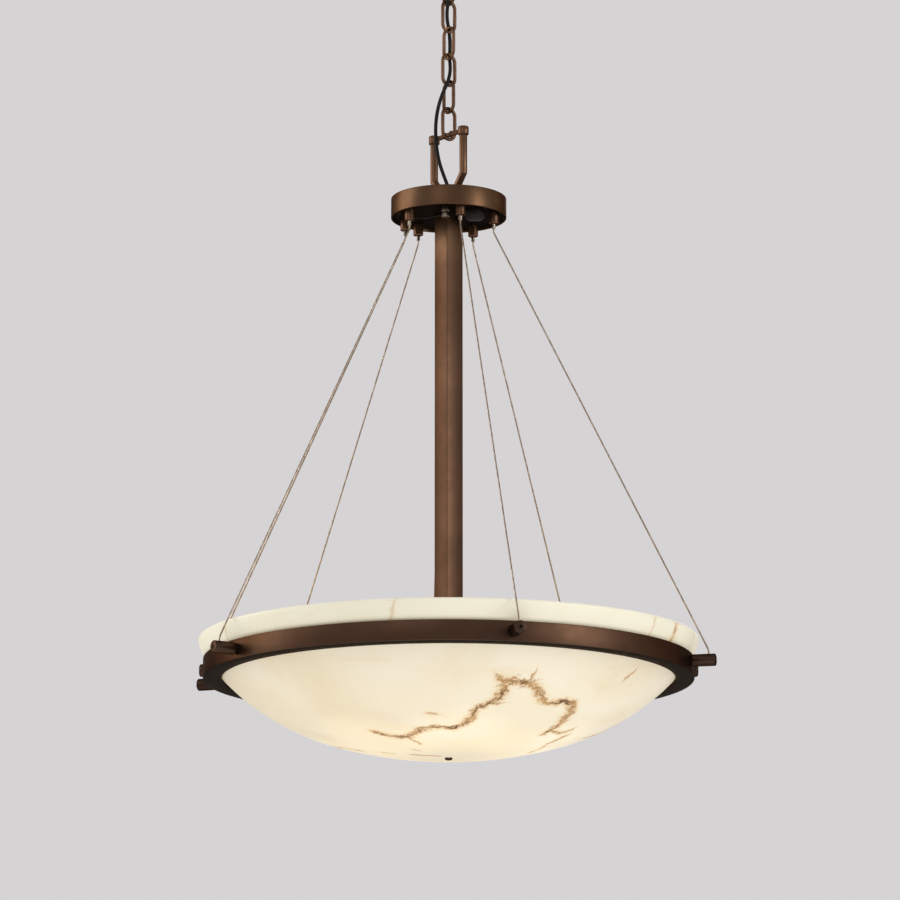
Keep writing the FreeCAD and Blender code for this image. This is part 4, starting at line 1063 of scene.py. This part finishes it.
def make_cluster():
    """The round wiring box in the bowl, which the sockets stand out from."""
    bore, corner = 4.3, 3.0
    face = CLUSTER_RADIUS - corner
    outline = [(bore, CLUSTER_BOTTOM), (face, CLUSTER_BOTTOM), (CLUSTER_RADIUS, CLUSTER_BOTTOM + corner),
               (CLUSTER_RADIUS, CLUSTER_TOP - corner), (face, CLUSTER_TOP), (bore, CLUSTER_TOP)]
    box = turned("wiring_box", outline, 72, closed=True)
    fit(smooth(bevel(box, 1.2, 3)), "lamp", "zinc_steel", "lamp_cluster")


def make_sockets():
    """Lamp holders with a step round each, and a deep mouth."""
    radius, step_radius, mouth = 12.0, 11.2, 7.0
    foot, mouth_floor, end = 41.0, 51.0, 72.0
    outline = [(0.0, foot), (radius, foot), (radius, 50.0), (step_radius, 51.0), (step_radius, 53.0),
               (radius, 54.0), (radius, end - 1.5), (11.0, end), (8.2, end), (mouth, end - 1.0),
               (mouth, mouth_floor), (0.0, mouth_floor)]
    socket = smooth(turned("lamp_holder", outline, 40, place(0.0, SOCKET_ANGLES[0], SOCKET_HEIGHT),
                           place(1.0 / MM, SOCKET_ANGLES[0])))
    fit(ring_of(socket, "lamp_holders", SOCKET_ANGLES), "lamp", "porcelain", "lamp_sockets")


def make_bulbs():
    """Globe bulbs, each with a threaded base that flares into the glass."""
    globe, shoulder, globe_steps = 25.0, 18.0, 24
    foot, thread_end, pitch = 52.0, 18.0, 2.4
    outline = [(0.0, foot), (5.2, foot)]
    along = foot + 1.5
    while along < foot + thread_end:
        outline += [(6.0, along), (5.4, along + pitch / 2.0)]
        along += pitch
    outline += [(7.0, foot + 20.0), (9.5, foot + 23.0), (14.0, foot + 29.0)]
    start_turn = math.asin(shoulder / globe)
    for step in range(globe_steps + 1):
        turn = math.pi - start_turn - (math.pi - start_turn) * step / globe_steps
        outline.append((globe * math.sin(turn), BULB_REACH + globe * math.cos(turn)))
    bulb = smooth(turned("globe_lamp", outline, 48, place(0.0, SOCKET_ANGLES[0], SOCKET_HEIGHT),
                         place(1.0 / MM, SOCKET_ANGLES[0])), 60.0)
    fit(ring_of(bulb, "globe_lamps", SOCKET_ANGLES), "lamp", "lamp_glass", "bulbs")


def make_finial():
    """The button under the bowl, with the boss that goes up through the stone."""
    depth, radius, boss, bore, boss_height = 2.4, 4.6, 4.0, 2.58, 6.5
    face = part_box("finial")[0].z / MM + depth
    outline = [(0.0, face - depth), (2.4, face - 2.35), (3.8, face - 1.9), (radius, face - 1.1),
               (4.8, face - 0.3), (radius, face), (boss, face), (boss, face + boss_height),
               (bore, face + boss_height), (bore, face + 0.3), (0.0, face + 0.3)]
    button = turned("bowl_button", outline, 40)
    fit(smooth(button, 40.0), "finial", "bronze", "finial")


# ---------------------------------------------------------------- power cord
# Each point is x, y, and the height above the hub's top, in metres.
CORD_POINTS = [
    (0.0, 0.0, -0.008), (0.0, 0.0, 0.014), (-0.0065, 0.0005, 0.031), (-0.0125, 0.002, 0.050),
    (-0.016, 0.004, 0.074), (-0.0165, 0.0035, 0.098), (-0.0135, -0.0008, 0.118), (-0.0078, -0.0064, 0.135),
    (-0.0008, -0.0086, 0.149), (0.0024, -0.0009, 0.167), (0.0009, 0.0087, 0.1845), (0.0017, 0.0084, 0.202),
    (0.0007, 0.0088, 0.2195), (-0.0028, 0.0006, 0.237), (-0.0008, -0.0086, 0.2545), (-0.0017, -0.0084, 0.272),
    (-0.0008, -0.0082, 0.2895), (-0.0008, -0.0079, 0.306), (-0.0018, -0.0089, 0.321),
    (-0.0019, -0.0079, 0.3315), (0.0, 0.0, 0.342), (0.0, 0.0, 0.374),
]


def make_power_cord():
    """One cord in eight stretches, cut at the middles of the chain's links."""
    route = nurbs_route("cord_route", [(x, y, height + HUB_TOP * MM) for x, y, height in CORD_POINTS], 14)
    points = points_on(route)[::-1]
    bpy.data.objects.remove(route)
    joints = [(TOP_JOINT - LINK_PITCH * number) * MM for number in range(LINK_COUNT)] + [CROSSBAR_HEIGHT * MM]
    middle_drop = (LINK_HEIGHT - LINK_WIRE) / 2.0 * MM
    cuts = [joint - middle_drop for joint in joints[:-1]]
    start = 0
    for number, joint in enumerate(joints):
        end = len(points) - 1
        if number < len(cuts):
            end = next(index for index, point in enumerate(points) if point.z < cuts[number])
        stretch = tube("cord_stretch_" + str(number + 1), points[start:end + 1], CORD_DIAMETER / 2.0, 6)
        smooth(stretch, 60.0)
        stretch.data.materials.append(finishes["cord_sheath"])
        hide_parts("power_cord")
        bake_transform(stretch)
        start = end


# ---------------------------------------------------------------- scene
def make_camera():
    data = bpy.data.cameras.new("camera")
    data.sensor_width = SENSOR
    data.lens = FOCAL_PIXELS / PICTURE * SENSOR
    data.clip_end = 60.0
    camera = bpy.data.objects.new("camera", data)
    camera.location = CAMERA_PLACE
    camera.rotation_euler = (math.radians(90.0) + CAMERA_PITCH, 0.0, 0.0)
    bpy.context.scene.collection.objects.link(camera)
    bpy.context.scene.camera = camera


def soft_light(name, spot, aim, size, watts):
    data = bpy.data.lights.new(name, "AREA")
    data.shape = "RECTANGLE"
    data.size, data.size_y = size
    data.energy = watts
    light = bpy.data.objects.new(name, data)
    light.location = spot
    light.rotation_euler = (Vector(aim) - Vector(spot)).to_track_quat("-Z", "Y").to_euler()
    bpy.context.scene.collection.objects.link(light)


def make_floor():
    clear_selection()
    bpy.ops.mesh.primitive_plane_add(size=80.0, location=(0.0, 0.0, -2.7))
    floor = bpy.context.object
    floor.name = "studio_floor"
    settle(floor)
    finish = Finish("studio_floor")
    grain = finish.noise(3.0, 3.0)
    finish.set(Base_Color=finish.mix(grain, shade(243, 242, 243), shade(248, 247, 248)), Roughness=0.9)
    floor.data.materials.append(finish.material)


def make_backdrop():
    """A pale backdrop for the camera and through glass, and a dimmer even fill for everything else."""
    world = bpy.data.worlds.new("studio")
    bpy.context.scene.world = world
    world.use_nodes = True
    tree = world.node_tree
    backdrop = tree.nodes["Background"]
    backdrop.inputs["Color"].default_value = shade(214, 211, 213)
    backdrop.inputs["Strength"].default_value = 1.0
    fill = tree.nodes.new("ShaderNodeBackground")
    fill.inputs["Color"].default_value = shade(236, 236, 240)
    fill.inputs["Strength"].default_value = 0.55
    paths = tree.nodes.new("ShaderNodeLightPath")
    seen = tree.nodes.new("ShaderNodeMath")
    seen.operation = "MAXIMUM"
    tree.links.new(paths.outputs["Is Camera Ray"], seen.inputs[0])
    tree.links.new(paths.outputs["Is Transmission Ray"], seen.inputs[1])
    choose = tree.nodes.new("ShaderNodeMixShader")
    tree.links.new(seen.outputs[0], choose.inputs[0])
    tree.links.new(fill.outputs[0], choose.inputs[1])
    tree.links.new(backdrop.outputs[0], choose.inputs[2])
    tree.links.new(choose.outputs[0], tree.nodes["World Output"].inputs["Surface"])


def make_lights():
    middle, bowl_middle = (0.0, 0.0, -0.75), (0.0, 0.0, -1.0)
    soft_light("key", (-3.2, 0.3, 0.2), middle, (2.2, 2.4), 46.0)
    soft_light("side", (2.9, -1.75, -0.2), middle, (0.9, 1.8), 36.0)
    soft_light("front", (-1.2, -3.4, 0.6), middle, (1.4, 1.4), 11.0)
    soft_light("back", (0.4, 2.8, 0.4), middle, (2.2, 1.4), 20.0)
    soft_light("low_fill", (0.0, -1.6, -2.4), bowl_middle, (1.6, 1.2), 7.0)


# ---------------------------------------------------------------- the whole lamp
make_camera()
make_power_cord()
dress_solids()
make_canopy()
make_canopy_loop()
make_chain()
make_bail()
make_crossbar()
make_hub_cover()
make_hole_plug()
make_earth_terminal()
make_cord_bush()
make_grippers()
make_cables()
make_ring()
make_pegs()
make_side_screws()
alabaster_bowl = make_bowl()
paint_vein_field(alabaster_bowl)
fit(alabaster_bowl, "lamp", "alabaster", "bowl")
make_gasket()
make_stem()
make_cluster()
make_sockets()
make_bulbs()
make_finial()
make_floor()
make_backdrop()
make_lights()
clear_selection()
bpy.context.scene.view_settings.view_transform = "Standard"
